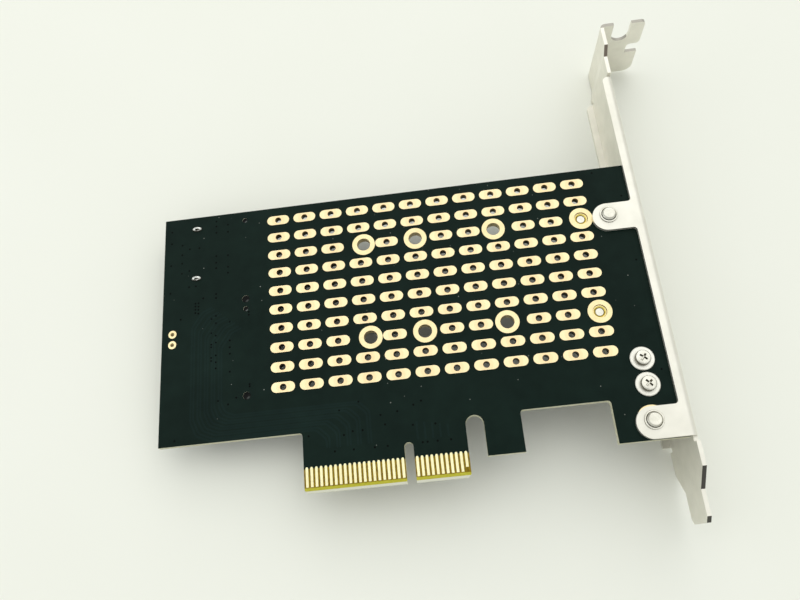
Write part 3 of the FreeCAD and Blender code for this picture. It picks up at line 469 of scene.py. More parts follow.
tin = make_finish("tinned metal", paint(158, 158, 154), paint(212, 212, 208), (0.42, 0.26),
                  metallic=0.9, patch=0.9, grain=0.1, height=0.003,
                  edge=paint(236, 236, 232), edge_width=0.04, worn=0.5)
# Solder takes the same zone: the steep sides of its domes are painted darker as shade.
solder = make_finish("bright solder", paint(186, 187, 182), paint(232, 234, 230), (0.24, 0.14),
                     metallic=0.9, patch=0.5, grain=0.2, height=0.006, zone=dark_walls)
aluminium = make_finish("printed can aluminium", paint(168, 169, 168), paint(214, 215, 213),
                        (0.42, 0.30), metallic=0.9, patch=2.0, grain=0.1, height=0.002,
                        edge=paint(240, 240, 238), edge_width=0.10, worn=0.5)
print("metals:", nickel.name, gold.name, steel.name, brass.name)

# %% [markdown]
# ## Gold on the heat pads
# A pad is a little warmer round its hole, and the wall of the hole is painted darker on its way
# down, as shade in the hole. The tree that makes the pads stores on each point how far it lies from
# its pad's middle. The finish reads that value, so that every pad gets the same ring without a map
# of its own.

# %% Heat pad gold
PAD_METALLIC, PAD_RIM = 0.85, (0.27, 0.31)
BARREL_DEPTHS = (-0.2, 0.7)


def make_pad_finish():
    """Thin gold, warmer round each hole, with painted shade down the hole's wall."""
    finish, tree, shader, spot = new_finish("heat pad gold")
    cloud = use(tree, UNEVEN_COAT, {"Place": spot, "Patch": 0.012})[0]
    outer = mix_colours(tree, cloud, paint(235, 215, 170), paint(239, 221, 178))
    inner = mix_colours(tree, cloud, paint(237, 208, 162), paint(240, 213, 168))
    reach = place(tree, "ShaderNodeAttribute", {"attribute_name": "reach"}).outputs["Fac"]
    colour = mix_colours(tree, ramp(tree, reach, *PAD_RIM), inner, outer)
    # The hole's wall is painted from brass to near black with depth, as painted shade.
    height = split(tree, spot)[2]
    barrel = mix_colours(tree, ramp(tree, height, *(depth * MM for depth in BARREL_DEPTHS)),
                         paint(40, 34, 18), paint(140, 118, 54))
    in_hole = calc(tree, "LESS_THAN", height, (pad_top - 0.02) * MM)
    colour = mix_colours(tree, in_hole, colour, barrel)
    bumps = use(tree, FINE_GRAIN, {"Place": spot, "Grain": 0.00014, "Drawn out": 1.0})[0]
    close_finish(tree, shader, colour, ramp(tree, cloud, 0.0, 1.0, 0.34, 0.26), bumps, 0.5, 0.002)
    shader.inputs["Metallic"].default_value = PAD_METALLIC
    return finish


pad_gold = make_pad_finish()
print("heat pads:", pad_gold.name, "with", len(pad_gold.node_tree.nodes), "nodes")

# %% [markdown]
# ## Mouldings and small parts
# The sockets are a matt black moulding, the cable port is glossier, and the chips are either tan
# ceramic or black glaze. The inductor is pressed from ferrite powder, so it is dull and grainy.
# They use the same recipe as the metals, with nothing metallic in it and rougher clouds.

# %% Plastic and ceramic finishes
# The lighter edge tones of the mouldings, chips, lens and marks are painted highlights.
moulding = make_finish("socket moulding", paint(9, 9, 9), paint(20, 20, 19), (0.62, 0.46),
                       specular=0.25, patch=3.0, grain=0.09, height=0.010,
                       edge=paint(84, 84, 80), edge_width=0.10, worn=0.6, dust=0.04)
port_moulding = make_finish("cable port moulding", paint(16, 16, 17), paint(30, 30, 31),
                            (0.44, 0.28), specular=0.5, patch=4.0, grain=0.12, height=0.006,
                            edge=paint(78, 78, 76), edge_width=0.12, worn=0.5, dust=0.05)
epoxy = make_finish("black epoxy", paint(24, 25, 26), paint(44, 45, 46), (0.66, 0.5),
                    specular=0.4, patch=1.6, grain=0.07, height=0.010,
                    edge=paint(92, 92, 90), edge_width=0.06, worn=0.5)
ferrite = make_finish("pressed ferrite", paint(44, 43, 42), paint(74, 72, 70), (0.82, 0.66),
                      specular=0.3, patch=1.2, grain=0.10, height=0.030,
                      edge=paint(120, 116, 110), edge_width=0.10, worn=0.5)
ceramic = make_finish("tan ceramic", paint(140, 108, 74), paint(176, 142, 104), (0.56, 0.4),
                      specular=0.5, patch=0.6, grain=0.06, height=0.004,
                      edge=paint(204, 180, 148), edge_width=0.03, worn=0.5)
glaze = make_finish("black glaze", paint(16, 16, 17), paint(34, 34, 35), (0.34, 0.2),
                    specular=0.5, patch=0.6, grain=0.06, height=0.003,
                    edge=paint(96, 96, 94), edge_width=0.03, worn=0.5)
lens = make_finish("clear lens", paint(196, 200, 186), paint(232, 234, 222), (0.2, 0.1),
                   specular=0.6, patch=0.5, grain=0.1, height=0.002,
                   edge=paint(246, 246, 240), edge_width=0.04, worn=0.5)
vent_ink = make_finish("dark can mark", paint(26, 27, 30), paint(44, 45, 49), (0.6, 0.46),
                       specular=0.4, patch=0.8, grain=0.08, height=0.003,
                       edge=paint(92, 92, 92), edge_width=0.05, worn=0.4)
print("mouldings and ceramics ready")

# %% [markdown]
# ## The board: mask, bare laminate and gold on one solid
# A circuit board is a glass and resin sheet with copper on both faces and a dark green-black
# lacquer, the solder mask, over all but the contacts. Its sawn edges and the end of the tongue
# stay bare. Each zone could have a material of its own, but each follows from the place and the
# way the face looks, so one material does all of it.

# %% Zones of the board
tongue_low, tongue_high = box_mm("solder_side_contacts")
BARE_INSET, PALE_TIP = 0.4, 0.45
SAWN_SLOPE, TONGUE_SIDE = 0.6, 0.5
WEAVE_SCALE, WEAVE_STRETCH = 1500.0, (1.0, 1.0, 6.0)
BOARD_DUST, BOARD_DUST_SPACING, BOARD_DUST_SHARE = paint(196, 200, 192), 0.0034, 0.15


def glass_weave(tree, spot):
    """The threads of glass that show in a sawn edge, drawn out through the board."""
    stretched = place(tree, "ShaderNodeVectorMath", {"operation": "MULTIPLY"},
                      {0: spot, 1: WEAVE_STRETCH}).outputs[0]
    return place(tree, "ShaderNodeTexNoise", None,
                 {"Vector": stretched, "Scale": WEAVE_SCALE}).outputs[0]


print("tongue from", round(tongue_low.y, 2), "to", round(tongue_high.y, 2), "mm above its tip")

# %% [markdown]
# ## Laying the zones over each other
# The zones are laid one over the other, as the factory does: the lacquer first, then the bare
# tongue, the sawn edges, the dust, and the gold last. Sawn glass is rough, so it loses the shine of
# the lacquer as well as its colour.

# %% The board's finish
def make_board_finish():
    finish, tree, shader, spot = new_finish("solder mask board")
    x, y, z = split(tree, spot)
    facing = facing_of(tree)
    cloud = use(tree, UNEVEN_COAT, {"Place": spot, "Patch": 0.018})[0]
    mask = mix_colours(tree, cloud, paint(4, 22, 17), paint(10, 31, 25))

    sawn = calc(tree, "LESS_THAN", calc(tree, "ABSOLUTE", facing[2]), SAWN_SLOPE)
    weave = glass_weave(tree, spot)
    edge = mix_colours(tree, ramp(tree, weave, 0.35, 0.65),
                       paint(178, 176, 148), paint(218, 217, 196))
    under_mask = calc(tree, "LESS_THAN", y, (tongue_high.y - BARE_INSET) * MM)
    on_tongue = calc(tree, "MULTIPLY", under_mask, calc(
        tree, "LESS_THAN", x, (tongue_high.x + TONGUE_SIDE) * MM))
    edge = mix_colours(tree, on_tongue, edge, paint(214, 214, 197))
    sawn = calc(tree, "MAXIMUM", sawn, calc(tree, "LESS_THAN", y, PALE_TIP * MM))
    below_contacts = calc(tree, "LESS_THAN", y, tongue_low.y * MM)
    # The bare laminate between the contacts is painted darker than below them, as the shade between
    # the strips.
    beside = mix_colours(tree, ramp(tree, weave, 0.35, 0.65),
                         paint(116, 94, 20), paint(148, 124, 32))
    below = mix_colours(tree, ramp(tree, weave, 0.3, 0.7),
                        paint(176, 170, 52), paint(194, 188, 70))
    bare = mix_colours(tree, below_contacts, beside, below)
    plated = calc(tree, "GREATER_THAN", z, (board_top + pad_top) / 2 * MM)

    colour = mix_colours(tree, on_tongue, mask, bare)
    colour = mix_colours(tree, sawn, colour, edge)
    speck = use(tree, SETTLED_DUST, {"Place": spot, "Spacing": BOARD_DUST_SPACING,
                                     "Share": BOARD_DUST_SHARE})[0]
    colour = mix_colours(tree, speck, colour, BOARD_DUST)
    colour = mix_colours(tree, plated, colour, mix_colours(
        tree, cloud, paint(229, 210, 160), paint(238, 221, 176)))
    rough = ramp(tree, cloud, 0.0, 1.0, 0.52, 0.40)
    rough = calc(tree, "MAXIMUM", rough, calc(
        tree, "MULTIPLY", calc(tree, "MAXIMUM", sawn, on_tongue), 0.75))

    lacquer = use(tree, FINE_GRAIN, {"Place": spot, "Grain": 0.0005, "Drawn out": 1.0})[0]
    close_finish(tree, shader, colour, rough, lacquer, 0.5, 0.006)
    tree.links.new(calc(tree, "MULTIPLY", plated, PAD_METALLIC), shader.inputs["Metallic"])
    shader.inputs["Specular IOR Level"].default_value = 0.09
    return finish


board_finish = make_board_finish()
raised_mask = make_finish("solder mask over copper", paint(7, 26, 23), paint(14, 35, 31),
                          (0.5, 0.4), specular=0.09, patch=18.0, grain=0.5, height=0.006)
via_mask = make_finish("solder mask over a via", paint(1, 3, 2), paint(5, 9, 8), (0.75, 0.6),
                       specular=0.05, patch=2.0, grain=0.2, height=0.004)
print("board top at", round(board_top, 3), "mm, pads to", round(pad_top, 3), "mm")

# %% [markdown]
# ## Finishes for the solids that stay
# Where a solid already has the right shape, only its finish changes. Each node names its slot in
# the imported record, so one table from slot to finish dresses them all. The bracket alone gets a
# finish of its own, because of its sheared edges.

# %% Dress the solids
FINISH_OF_SLOT = {
    "solder_mask_board": board_finish, "gold_plating": gold, "nickel_plated_sheet": nickel,
    "screw_steel": steel, "turned_brass": brass, "socket_moulding": moulding,
    "port_moulding": port_moulding, "tinned_metal": tin, "bright_solder": solder,
    "black_epoxy": epoxy, "ferrite_block": ferrite, "can_aluminium": aluminium,
    "tan_ceramic": ceramic, "black_glaze": glaze, "clear_lens": lens}

for part in frame["record"]["subparts"]:
    solid = nodes[part["node"]]
    for pocket in solid.material_slots:
        pocket.material = FINISH_OF_SLOT[part["material_slot"]]
for pocket in nodes["bracket"].material_slots:
    pocket.material = bracket_nickel
print("dressed", len(nodes), "solids in", len(FINISH_OF_SLOT), "finishes")

# %% [markdown]
# ## From a shape to an object
# The small parts are modelled in millimetres, and Blender works in metres. One helper merges
# doubles, turns the faces outwards, scales the shape and keeps its sharp edges sharp. Another caps
# two matching outlines and joins them, which makes strips, crosses and marks alike. An Extrude
# would do that too, but not where the second outline is narrower.

# %% Shape helpers
def to_object(name, shape, smooth_angle=35):
    """Turns a bmesh in millimetres into an object in metres, smooth but for its sharp edges."""
    bmesh.ops.remove_doubles(shape, verts=shape.verts, dist=1e-5)
    bmesh.ops.recalc_face_normals(shape, faces=shape.faces)
    bmesh.ops.scale(shape, vec=(MM, MM, MM), verts=shape.verts)
    mesh = bpy.data.meshes.new(name)
    shape.to_mesh(mesh)
    shape.free()
    mesh.shade_smooth()
    mesh.set_sharp_from_angle(angle=math.radians(smooth_angle))
    made = bpy.data.objects.new(name, mesh)
    bpy.context.scene.collection.objects.link(made)
    return made


def close_rims(shape, first, second):
    """Caps two matching rims and joins them with a band of faces."""
    shape.faces.new(first)
    shape.faces.new(second[::-1])
    for step in range(len(first)):
        after = (step + 1) % len(first)
        shape.faces.new((first[step], first[after], second[after], second[step]))


print("edges sharper than", to_object.__defaults__[0], "degrees stay sharp")

# %% [markdown]
# ## Turning shapes on a lathe
# Screws, washers, standoffs and cans are all turned: a profile of radius and height swept round an
# axis. Blender's Spin could do it, but building the rings of vertices directly gives closed poles
# and a known number of flats. A profile that starts and ends off the axis makes a closed ring.

# %% Lathe helper
def turn_profile(shape, profile, flats, middle=(0.0, 0.0)):
    """Sweeps (radius, height) points round an upright axis."""
    rings = []
    for radius, height in profile:
        count = 1 if radius == 0 else flats
        angles = [math.tau * step / flats for step in range(count)]
        rings.append([shape.verts.new((middle[0] + radius * math.cos(angle),
                                       middle[1] + radius * math.sin(angle), height))
                      for angle in angles])
    hollow = profile[0][0] > 0 and profile[-1][0] > 0
    pairs = list(zip(rings, rings[1:] + rings[:1] if hollow else rings[1:]))
    for low, high in pairs:
        for step in range(flats):
            after = (step + 1) % flats
            corners = [low[step % len(low)], low[after % len(low)],
                       high[after % len(high)], high[step % len(high)]]
            corners = list(dict.fromkeys(corners))
            if len(corners) > 2:
                shape.faces.new(corners)


def turned(name, profile, flats=24):
    shape = bmesh.new()
    turn_profile(shape, profile, flats)
    return to_object(name, shape)


print("the lathe gives", turned.__defaults__[0], "flats where nothing else is said")

# %% [markdown]
# ## Cutting one shape out of another
# The crosses of the screws are hollows that taper. Their faces could be built one by one, but a
# Boolean modifier cuts a plain tool out of the head and finds the new edges itself. Its result is
# kept as a plain mesh, since the tool is thrown away.

# %% Bake and cut
CUT_ANGLE = 35


def bake_modifiers(made):
    """Applies an object's modifiers and takes them off."""
    final = bpy.data.meshes.new_from_object(
        made.evaluated_get(bpy.context.evaluated_depsgraph_get()))
    made.modifiers.clear()
    made.data = final
    return made


def cut_away(made, tool):
    """Cuts one shape out of another, and throws the tool away."""
    cut = made.modifiers.new("cut", "BOOLEAN")
    cut.operation, cut.solver, cut.object = "DIFFERENCE", "EXACT", tool
    bake_modifiers(made)
    bpy.data.objects.remove(tool)
    made.data.set_sharp_from_angle(angle=math.radians(CUT_ANGLE))
    return made


print("meshes so far:", len(bpy.data.meshes))

# %% [markdown]
# ## Trees that set shapes out on marks
# The card repeats a few shapes at many places. Copies could be placed by hand, but a small Geometry
# Nodes tree sets a shape on every mark at once and keeps its sizes as inputs. The result is made
# real and given its finish, because an export keeps no instances.

# %% Opening and closing a tree
TREE_KINDS = {float: "NodeSocketFloat", int: "NodeSocketInt"}


def new_tree(name, sizes):
    """An empty geometry tree: its Marks come in, and one Geometry goes out."""
    tree = bpy.data.node_groups.new(name, "GeometryNodeTree")
    tree.interface.new_socket("Marks", in_out="INPUT", socket_type="NodeSocketGeometry")
    for label, value in sizes:
        kind = TREE_KINDS.get(type(value), "NodeSocketObject")
        socket = tree.interface.new_socket(label, in_out="INPUT", socket_type=kind)
        if value is not None:
            socket.default_value = value
    tree.interface.new_socket("Finish", in_out="INPUT", socket_type="NodeSocketMaterial")
    tree.interface.new_socket("Geometry", in_out="OUTPUT", socket_type="NodeSocketGeometry")
    return tree, tree.nodes.new("NodeGroupInput").outputs


def end_tree(tree, given, geometry):
    """Makes the instances real, sets the finish and closes the tree."""
    real = place(tree, "GeometryNodeRealizeInstances", None, {0: geometry})
    coated = place(tree, "GeometryNodeSetMaterial", None,
                   {"Geometry": real.outputs[0], "Material": given["Finish"]})
    tree.links.new(coated.outputs[0], tree.nodes.new("NodeGroupOutput").inputs["Geometry"])
    return tree


print("a tree's own inputs: Marks and Finish, and any of", len(TREE_KINDS) + 1, "kinds")

# %% [markdown]
# ## Marks
# A mark is a bare vertex where a shape is to stand. Empties could mark the places too, but a mesh
# of vertices is one object, and it carries a number for each mark, such as the turn of its shape.
# A path, for a trace, is a row of vertices that are joined by edges.

# %% Marks
def mark_mesh(name, places, paths=()):
    """Marks in millimetres. A place may have a fourth number, the turn of its shape in degrees."""
    mesh = bpy.data.meshes.new(name)
    points = [mark[:3] for mark in places] + [point for path in paths for point in path]
    edges, start = [], len(places)
    for path in paths:
        edges += [(start + step, start + step + 1) for step in range(len(path) - 1)]
        start += len(path)
    mesh.from_pydata([Vector(point) * MM for point in points], edges, [])
    turns = mesh.attributes.new("turn", "FLOAT", "POINT")
    for number, mark in enumerate(places):
        turns.data[number].value = math.radians(mark[3]) if len(mark) > 3 else 0.0
    return mesh


print("marks are told in units of", MM, "m")

# %% [markdown]
# ## Growing a piece
# The marks get the tree as a modifier, whose inputs are set by each socket's identifier before it
# first runs. Then the result is baked. Swept and filled shapes can come out with faces turned
# inwards, so the faces are turned outwards on the finished mesh.

# %% Grow a piece
def face_outward(piece, smooth_angle=30):
    """Turns the faces of every closed shape outwards, smooth but for their sharp edges."""
    shape = bmesh.new()
    shape.from_mesh(piece.data)
    bmesh.ops.recalc_face_normals(shape, faces=shape.faces)
    shape.to_mesh(piece.data)
    shape.free()
    piece.data.shade_smooth()
    piece.data.set_sharp_from_angle(angle=math.radians(smooth_angle))


def grow(name, marks, tree, values, finish):
    """Runs a tree on marks and keeps its result as one plain piece."""
    piece = bpy.data.objects.new(name, marks)
    bpy.context.scene.collection.objects.link(piece)
    growth = piece.modifiers.new("growth", "NODES")
    growth.node_group = tree
    for socket in tree.interface.items_tree:
        if socket.name in values:
            growth[socket.identifier] = values[socket.name]
        elif socket.name == "Finish":
            growth[socket.identifier] = finish
    bake_modifiers(piece)
    face_outward(piece)
    return piece


print("grown pieces keep edges over", face_outward.__defaults__[0], "degrees sharp")

# %% [markdown]
# ## Telling the frame about a piece
# Each new piece hides the solids it takes the place of, and is set on the body it rides on. This
# card has one body, the root. A forgotten call would leave a solid showing through its dressed
# copy, so one helper makes both calls.

# %% Hand a piece over
def finish_piece(piece, slot, *replaced):
    """Hides the solids a piece replaces, sets it on the root body and says how big it is.
    Its slot is not used.
    """
    if replaced:
        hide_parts(*replaced)
    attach(piece, "root")
    corners = [corner.co for corner in piece.data.vertices]
    reach = [(max(c[axis] for c in corners) - min(c[axis] for c in corners)) / MM
             for axis in range(3)]
    print(piece.name, len(piece.data.polygons), "faces,", [round(side, 2) for side in reach], "mm")


print("solids to dress or replace:", len(nodes))

# %% [markdown]
# ## The plated hole: plate, barrel and back ring
# A heat pad is a gold plate with a plated hole in it that carries heat through the board. The rings
# of the drive holes and of the small header are the same thing in other sizes. So one tree makes
# them all: a rounded outline and a circle are filled as a plate with a hole, the plate is given its
# thickness, and a thin barrel joins it to a ring on the other face.

# %% Curves and plates
def solid_plate(tree, outline, hole, thickness):
    """Fills the space between two curves and thickens it upwards, as a closed solid."""
    both = place(tree, "GeometryNodeJoinGeometry")
    tree.links.new(outline, both.inputs[0])
    tree.links.new(hole, both.inputs[0])
    face = place(tree, "GeometryNodeFillCurve", None, {0: both.outputs[0]})
    raised = place(tree, "GeometryNodeExtrudeMesh", None,
                   {"Mesh": face.outputs[0], "Offset Scale": thickness, "Individual": False})
    back = place(tree, "GeometryNodeFlipFaces", None, {0: face.outputs[0]})
    whole = place(tree, "GeometryNodeJoinGeometry")
    tree.links.new(raised.outputs["Mesh"], whole.inputs[0])
    tree.links.new(back.outputs[0], whole.inputs[0])
    return place(tree, "GeometryNodeMergeByDistance", None,
                 {"Geometry": whole.outputs[0], "Distance": 1e-7}).outputs[0]


def moved(tree, geometry, height):
    offset = place(tree, "ShaderNodeCombineXYZ", None, {2: height}).outputs[0]
    return place(tree, "GeometryNodeTransform", None,
                 {"Geometry": geometry, "Translation": offset}).outputs[0]


def circle(tree, diameter, flats):
    radius = calc(tree, "MULTIPLY", diameter, 0.5)
    return place(tree, "GeometryNodeCurvePrimitiveCircle", None,
                 {"Resolution": flats, "Radius": radius}).outputs[0]


def rounded_outline(tree, length, width, flats):
    box = place(tree, "GeometryNodeCurvePrimitiveQuadrilateral", None,
                {"Width": length, "Height": width}).outputs[0]
    radius = calc(tree, "MULTIPLY", width, 0.4999)
    return place(tree, "GeometryNodeFilletCurve", {"mode": "POLY"},
                 {"Curve": box, "Radius": radius, "Count": flats}).outputs[0]


print("plate parts:", solid_plate.__name__, circle.__name__, rounded_outline.__name__)

# %% [markdown]
# ## One tree for every plated hole
# The tree stores on each point how far it lies from the middle, as a share of the plate's length,
# before the shape is copied. The finish of the heat pads reads it.

# %% Plated hole tree
BACK_SHARE = -0.8


def make_plated_hole():
    tree, given = new_tree("plated hole", (
        ("Length", 0.005), ("Width", 0.002), ("Bore", 0.0015), ("Plate", 0.00005),
        ("Wall", 0.00004), ("Board", 0.00157), ("Back ring", 0.0022), ("Corner flats", 4),
        ("Bore flats", 16)))
    bore = circle(tree, calc(tree, "SUBTRACT", given["Bore"], calc(
        tree, "MULTIPLY", given["Wall"], 2.0)), given["Bore flats"])
    front = solid_plate(tree, rounded_outline(
        tree, given["Length"], given["Width"], given["Corner flats"]), bore, given["Plate"])
    barrel = solid_plate(tree, circle(tree, given["Bore"], given["Bore flats"]), bore,
                         calc(tree, "MULTIPLY", given["Board"], -1.0))
    ring = solid_plate(tree, rounded_outline(
        tree, given["Back ring"], given["Back ring"], given["Corner flats"]), bore,
        calc(tree, "MULTIPLY", given["Plate"], BACK_SHARE))
    whole = place(tree, "GeometryNodeJoinGeometry")
    back = moved(tree, ring, calc(tree, "MULTIPLY", given["Board"], -1.0))
    for shape in (front, barrel, back):
        tree.links.new(shape, whole.inputs[0])
    x, y, _ = split(tree, place(tree, "GeometryNodeInputPosition").outputs[0])
    across = place(tree, "ShaderNodeVectorMath", {"operation": "LENGTH"}, {
        0: place(tree, "ShaderNodeCombineXYZ", None, {0: x, 1: y}).outputs[0]}).outputs["Value"]
    kept = place(tree, "GeometryNodeStoreNamedAttribute", {"data_type": "FLOAT"},
                 {"Geometry": whole.outputs[0], "Name": "reach",
                  "Value": calc(tree, "DIVIDE", across, given["Length"])})
    spread = place(tree, "GeometryNodeInstanceOnPoints", None,
                   {"Points": given["Marks"], "Instance": kept.outputs[0]})
    return end_tree(tree, given, spread.outputs[0])


PLATED_HOLE = make_plated_hole()
print("plated hole tree:", len(PLATED_HOLE.nodes), "nodes")

# %% [markdown]
# ## The field of heat pads
# The pads stand in ten rows and twelve columns, and a pad is left out where a drive's screw ring
# needs the room. The last drive holes and the board's top edge tell where the field starts, and
# both are read from the solids.

# %% Where the pads stand
def middles(node):
    """The two middles of a node that holds a pair of round pieces, one above the other."""
    low, high = box_mm(node)
    x, half = (low.x + high.x) / 2, (high.x - low.x) / 2
    return [(x, low.y + half), (x, high.y - half)], low.z, high.z


PAD_PITCH = (6.3, 4.51)
PAD_COLUMNS, PAD_ROWS = 12, 10
RING_OUTER = 5.25
DRIVE_STEPS = (-50.0, -38.0, -20.0, 0.0)
FIELD_START = (-69.85, -3.35)

last_holes = middles("drive_standoffs")[0]
drive_rings = [(x + step, y) for x, y in last_holes for step in DRIVE_STEPS]
pad_first = (last_holes[0][0] + FIELD_START[0], board_high.y + FIELD_START[1])


def beside_ring(x, y):
    """Whether a pad at this place would touch a drive hole's ring."""
    return any(abs(x - a) <= RING_OUTER and abs(y - b) <= RING_OUTER / 2 for a, b in drive_rings)


pad_places = []
for row in range(PAD_ROWS):
    for column in range(PAD_COLUMNS):
        x, y = pad_first[0] + column * PAD_PITCH[0], pad_first[1] - row * PAD_PITCH[1]
        if not beside_ring(x, y):
            pad_places.append((x, y, pad_top - 0.01))
print(len(pad_places), "heat pads and", len(drive_rings), "rings")

# %% [markdown]
# ## Growing the heat pads
# The pads are one piece of a hundred and more plates. Each has only a few flats on its rounded
# ends and in its hole, since a shape that is repeated so often has to stay light.

# %% Heat pads
PAD_LENGTH, PAD_WIDTH, PAD_BORE = 5.25, 2.3, 1.56
PLATE, PAD_WALL, PAD_BACK = 0.03, 0.03, 2.2

heat_pads = grow("heat_pad_plating", mark_mesh("pad marks", pad_places), PLATED_HOLE, {
    "Length": PAD_LENGTH * MM, "Width": PAD_WIDTH * MM, "Bore": PAD_BORE * MM,
    "Plate": PLATE * MM, "Wall": PAD_WALL * MM, "Board": (board_top - board_under + 0.05) * MM,
    "Back ring": PAD_BACK * MM, "Corner flats": 5, "Bore flats": 14}, pad_gold)
finish_piece(heat_pads, "gold_plating")
print(round(len(heat_pads.data.polygons) / len(pad_places)), "faces a pad")

# %% [markdown]
# ## Rings round the drive holes and the ear holes
# The same tree, with its length and width equal, makes a round plated ring. Two of the drive holes
# are filled by brass standoffs, and get their rings all the same. The rings round the ear holes
# are larger, for the bracket's screws.

# %% Rings
RING_BORE = 3.15
EAR_RING_OUTER, EAR_RING_BORE = 6.5, 3.4
RING_PLATE, RING_WALL, RING_SINK = 0.065, 0.035, 0.05
ear_places = middles("bracket_screws")[0]


def ring_piece(name, places, outer, bore, corner_flats, bore_flats):
    marks = mark_mesh(name + " marks", [(x, y, pad_top - RING_SINK) for x, y in places])
    return grow(name, marks,
                PLATED_HOLE, {
                    "Length": outer * MM, "Width": outer * MM, "Bore": bore * MM,
                    "Plate": RING_PLATE * MM, "Wall": RING_WALL * MM, "Back ring": outer * MM,
                    "Board": (board_top - board_under + 0.012) * MM,
                    "Corner flats": corner_flats, "Bore flats": bore_flats}, gold)


drive_plating = ring_piece("drive_hole_plating", drive_rings, RING_OUTER, RING_BORE, 12, 48)
finish_piece(drive_plating, "gold_plating", "hole_rings")
ear_plating = ring_piece("ear_hole_plating", ear_places, EAR_RING_OUTER, EAR_RING_BORE, 10, 32)
finish_piece(ear_plating, "gold_plating", "hole_rings")
print(len(drive_rings) + len(ear_places), "rings")

# %% [markdown]
# ## Rings of the small header
# Two small plated holes near the free end would take a pair of pins for a light. They are the same
# rings again, and the box of the solid rings gives their places.

# %% Header rings
HEADER_RING, HEADER_BORE = 1.86, 0.96

header_low, header_high = box_mm("header_rings")
header_x = (header_low.x + header_high.x) / 2
header_places = [(header_x, header_low.y + 1.0), (header_x, header_high.y - 1.0)]
header_plating = ring_piece("header_hole_plating", header_places, HEADER_RING, HEADER_BORE, 7, 24)
finish_piece(header_plating, "gold_plating", "header_rings")
header_gap = header_places[1][1] - header_places[0][1]
print(len(header_places), "header rings,", round(header_gap, 2), "mm apart")

# %% [markdown]
# ## A tree that sets out any shape
# Contacts, screws, washers and springs are all one shape at several places. The tree takes the
# shape as an input and reads each mark's turn. It can add a small random turn, with a fixed seed,
# as a hand leaves a row of screws.

# %% Set-on-marks tree
def make_set_tree():
    tree, given = new_tree("set on marks", (("Shape", None), ("Loose turn", 0.0), ("Seed", 7)))
    shape = place(tree, "GeometryNodeObjectInfo", None, {"Object": given["Shape"]})
    turn = place(tree, "GeometryNodeInputNamedAttribute", {"data_type": "FLOAT"}, {"Name": "turn"})
    loose = place(tree, "FunctionNodeRandomValue", {"data_type": "FLOAT"}, {
        2: calc(tree, "MULTIPLY", given["Loose turn"], -1.0), 3: given["Loose turn"],
        "Seed": given["Seed"]})
    angle = place(tree, "ShaderNodeCombineXYZ", None, {
        2: calc(tree, "ADD", turn.outputs[0], loose.outputs[1])})
    spread = place(tree, "GeometryNodeInstanceOnPoints", None, {
        "Points": given["Marks"], "Instance": shape.outputs["Geometry"],
        "Rotation": angle.outputs[0]})
    return end_tree(tree, given, spread.outputs[0])


SET_TREE = make_set_tree()


def set_out(name, shape, places, finish, slot, *replaced, loose=0.0):
    """Puts a shape on its marks as one piece, and throws the single shape away."""
    piece = grow(name, mark_mesh(name + " marks", places), SET_TREE,
                 {"Shape": shape, "Loose turn": loose}, finish)
    bpy.data.objects.remove(shape)
    finish_piece(piece, slot, *replaced)


print("set-on-marks tree:", len(SET_TREE.nodes), "nodes")

# %% [markdown]
# ## Edge contacts
# The card edge has thirty-two gold strips on each face, one millimetre apart, with round upper
# ends. One strip on each face starts later, so that it mates last and tells the slot that the card
# is in. They could be painted on the board, but a thin plate catches light on its edges. The
# solids give the first and the last strip, and the key notch leaves a gap.

# %% Contact strips
CONTACT_PITCH, CONTACT_WIDTH, KEY_TO_CONTACT = 1.0, 0.57, 1.5
BARE_END, LATE_START = 0.15, 1.05
BEVELLED = 0.95


def contact_strip(name, start, end, low, high):
    """A thin plate with a half-round upper end."""
    half = CONTACT_WIDTH / 2
    arc = [math.radians(angle) for angle in range(0, 181, 30)]
    outline = [(-half, start), (half, start)] + [
        (half * math.cos(angle), end - half + half * math.sin(angle)) for angle in arc]
    shape = bmesh.new()
    rims = [[shape.verts.new((x * narrow, y, z)) for x, y in outline]
            for narrow, z in ((1.0, low), (BEVELLED, high))]
    close_rims(shape, *rims)
    return to_object(name, shape, 30)


def lay_contacts(node, late):
    low, high = box_mm(node)
    half = (high.x - low.x - round(high.x - low.x - 0.5)) / 2
    first, last = low.x + half, high.x - half
    runs = [first + step * CONTACT_PITCH for step in range(round(last - first) + 1)]
    runs = [x for x in runs if abs(x) > KEY_TO_CONTACT - 0.1]
    face = (low.z, high.z) if low.z > 0 else (high.z, low.z)
    for kind, start, chosen in (
            ("strips", low.y + BARE_END, [x for x in runs if x != late(runs)]),
            ("late_strip", low.y + LATE_START, [late(runs)])):
        set_out(node + "_" + kind, contact_strip("strip", start, high.y, *face),
                [(x, 0.0, 0.0) for x in chosen], strip_gold, "gold_plating", node)
    print(len(runs), "contacts on", node)


lay_contacts("solder_side_contacts", max)
lay_contacts("component_side_contacts", min)

# %% [markdown]
# ## Tented vias and buried traces
# Under the mask run copper traces, and small holes called vias take them through the board. The
# mask flows over both, so they show only as faint ridges and dark dots. A bump map could show
# them, but real ridges also catch the light in other views and in an export. A via is a low cone
# with its top cut off, and a trace is a path with eased corners and a flat profile.

# %% Via tree
TAPER = 0.55


def make_via_tree():
    tree, given = new_tree("tented via", (("Width", 0.0004), ("Rise", 0.00002), ("Flats", 10)))
    wide = calc(tree, "MULTIPLY", given["Width"], 0.5)
    dome = place(tree, "GeometryNodeMeshCone", None, {
        "Vertices": given["Flats"], "Radius Top": calc(tree, "MULTIPLY", wide, TAPER),
        "Radius Bottom": wide, "Depth": given["Rise"]})
    spread = place(tree, "GeometryNodeInstanceOnPoints", None,
                   {"Points": given["Marks"], "Instance": dome.outputs["Mesh"]})
    return end_tree(tree, given, spread.outputs[0])


VIA_TREE = make_via_tree()
print("via tree:", len(VIA_TREE.nodes), "nodes")

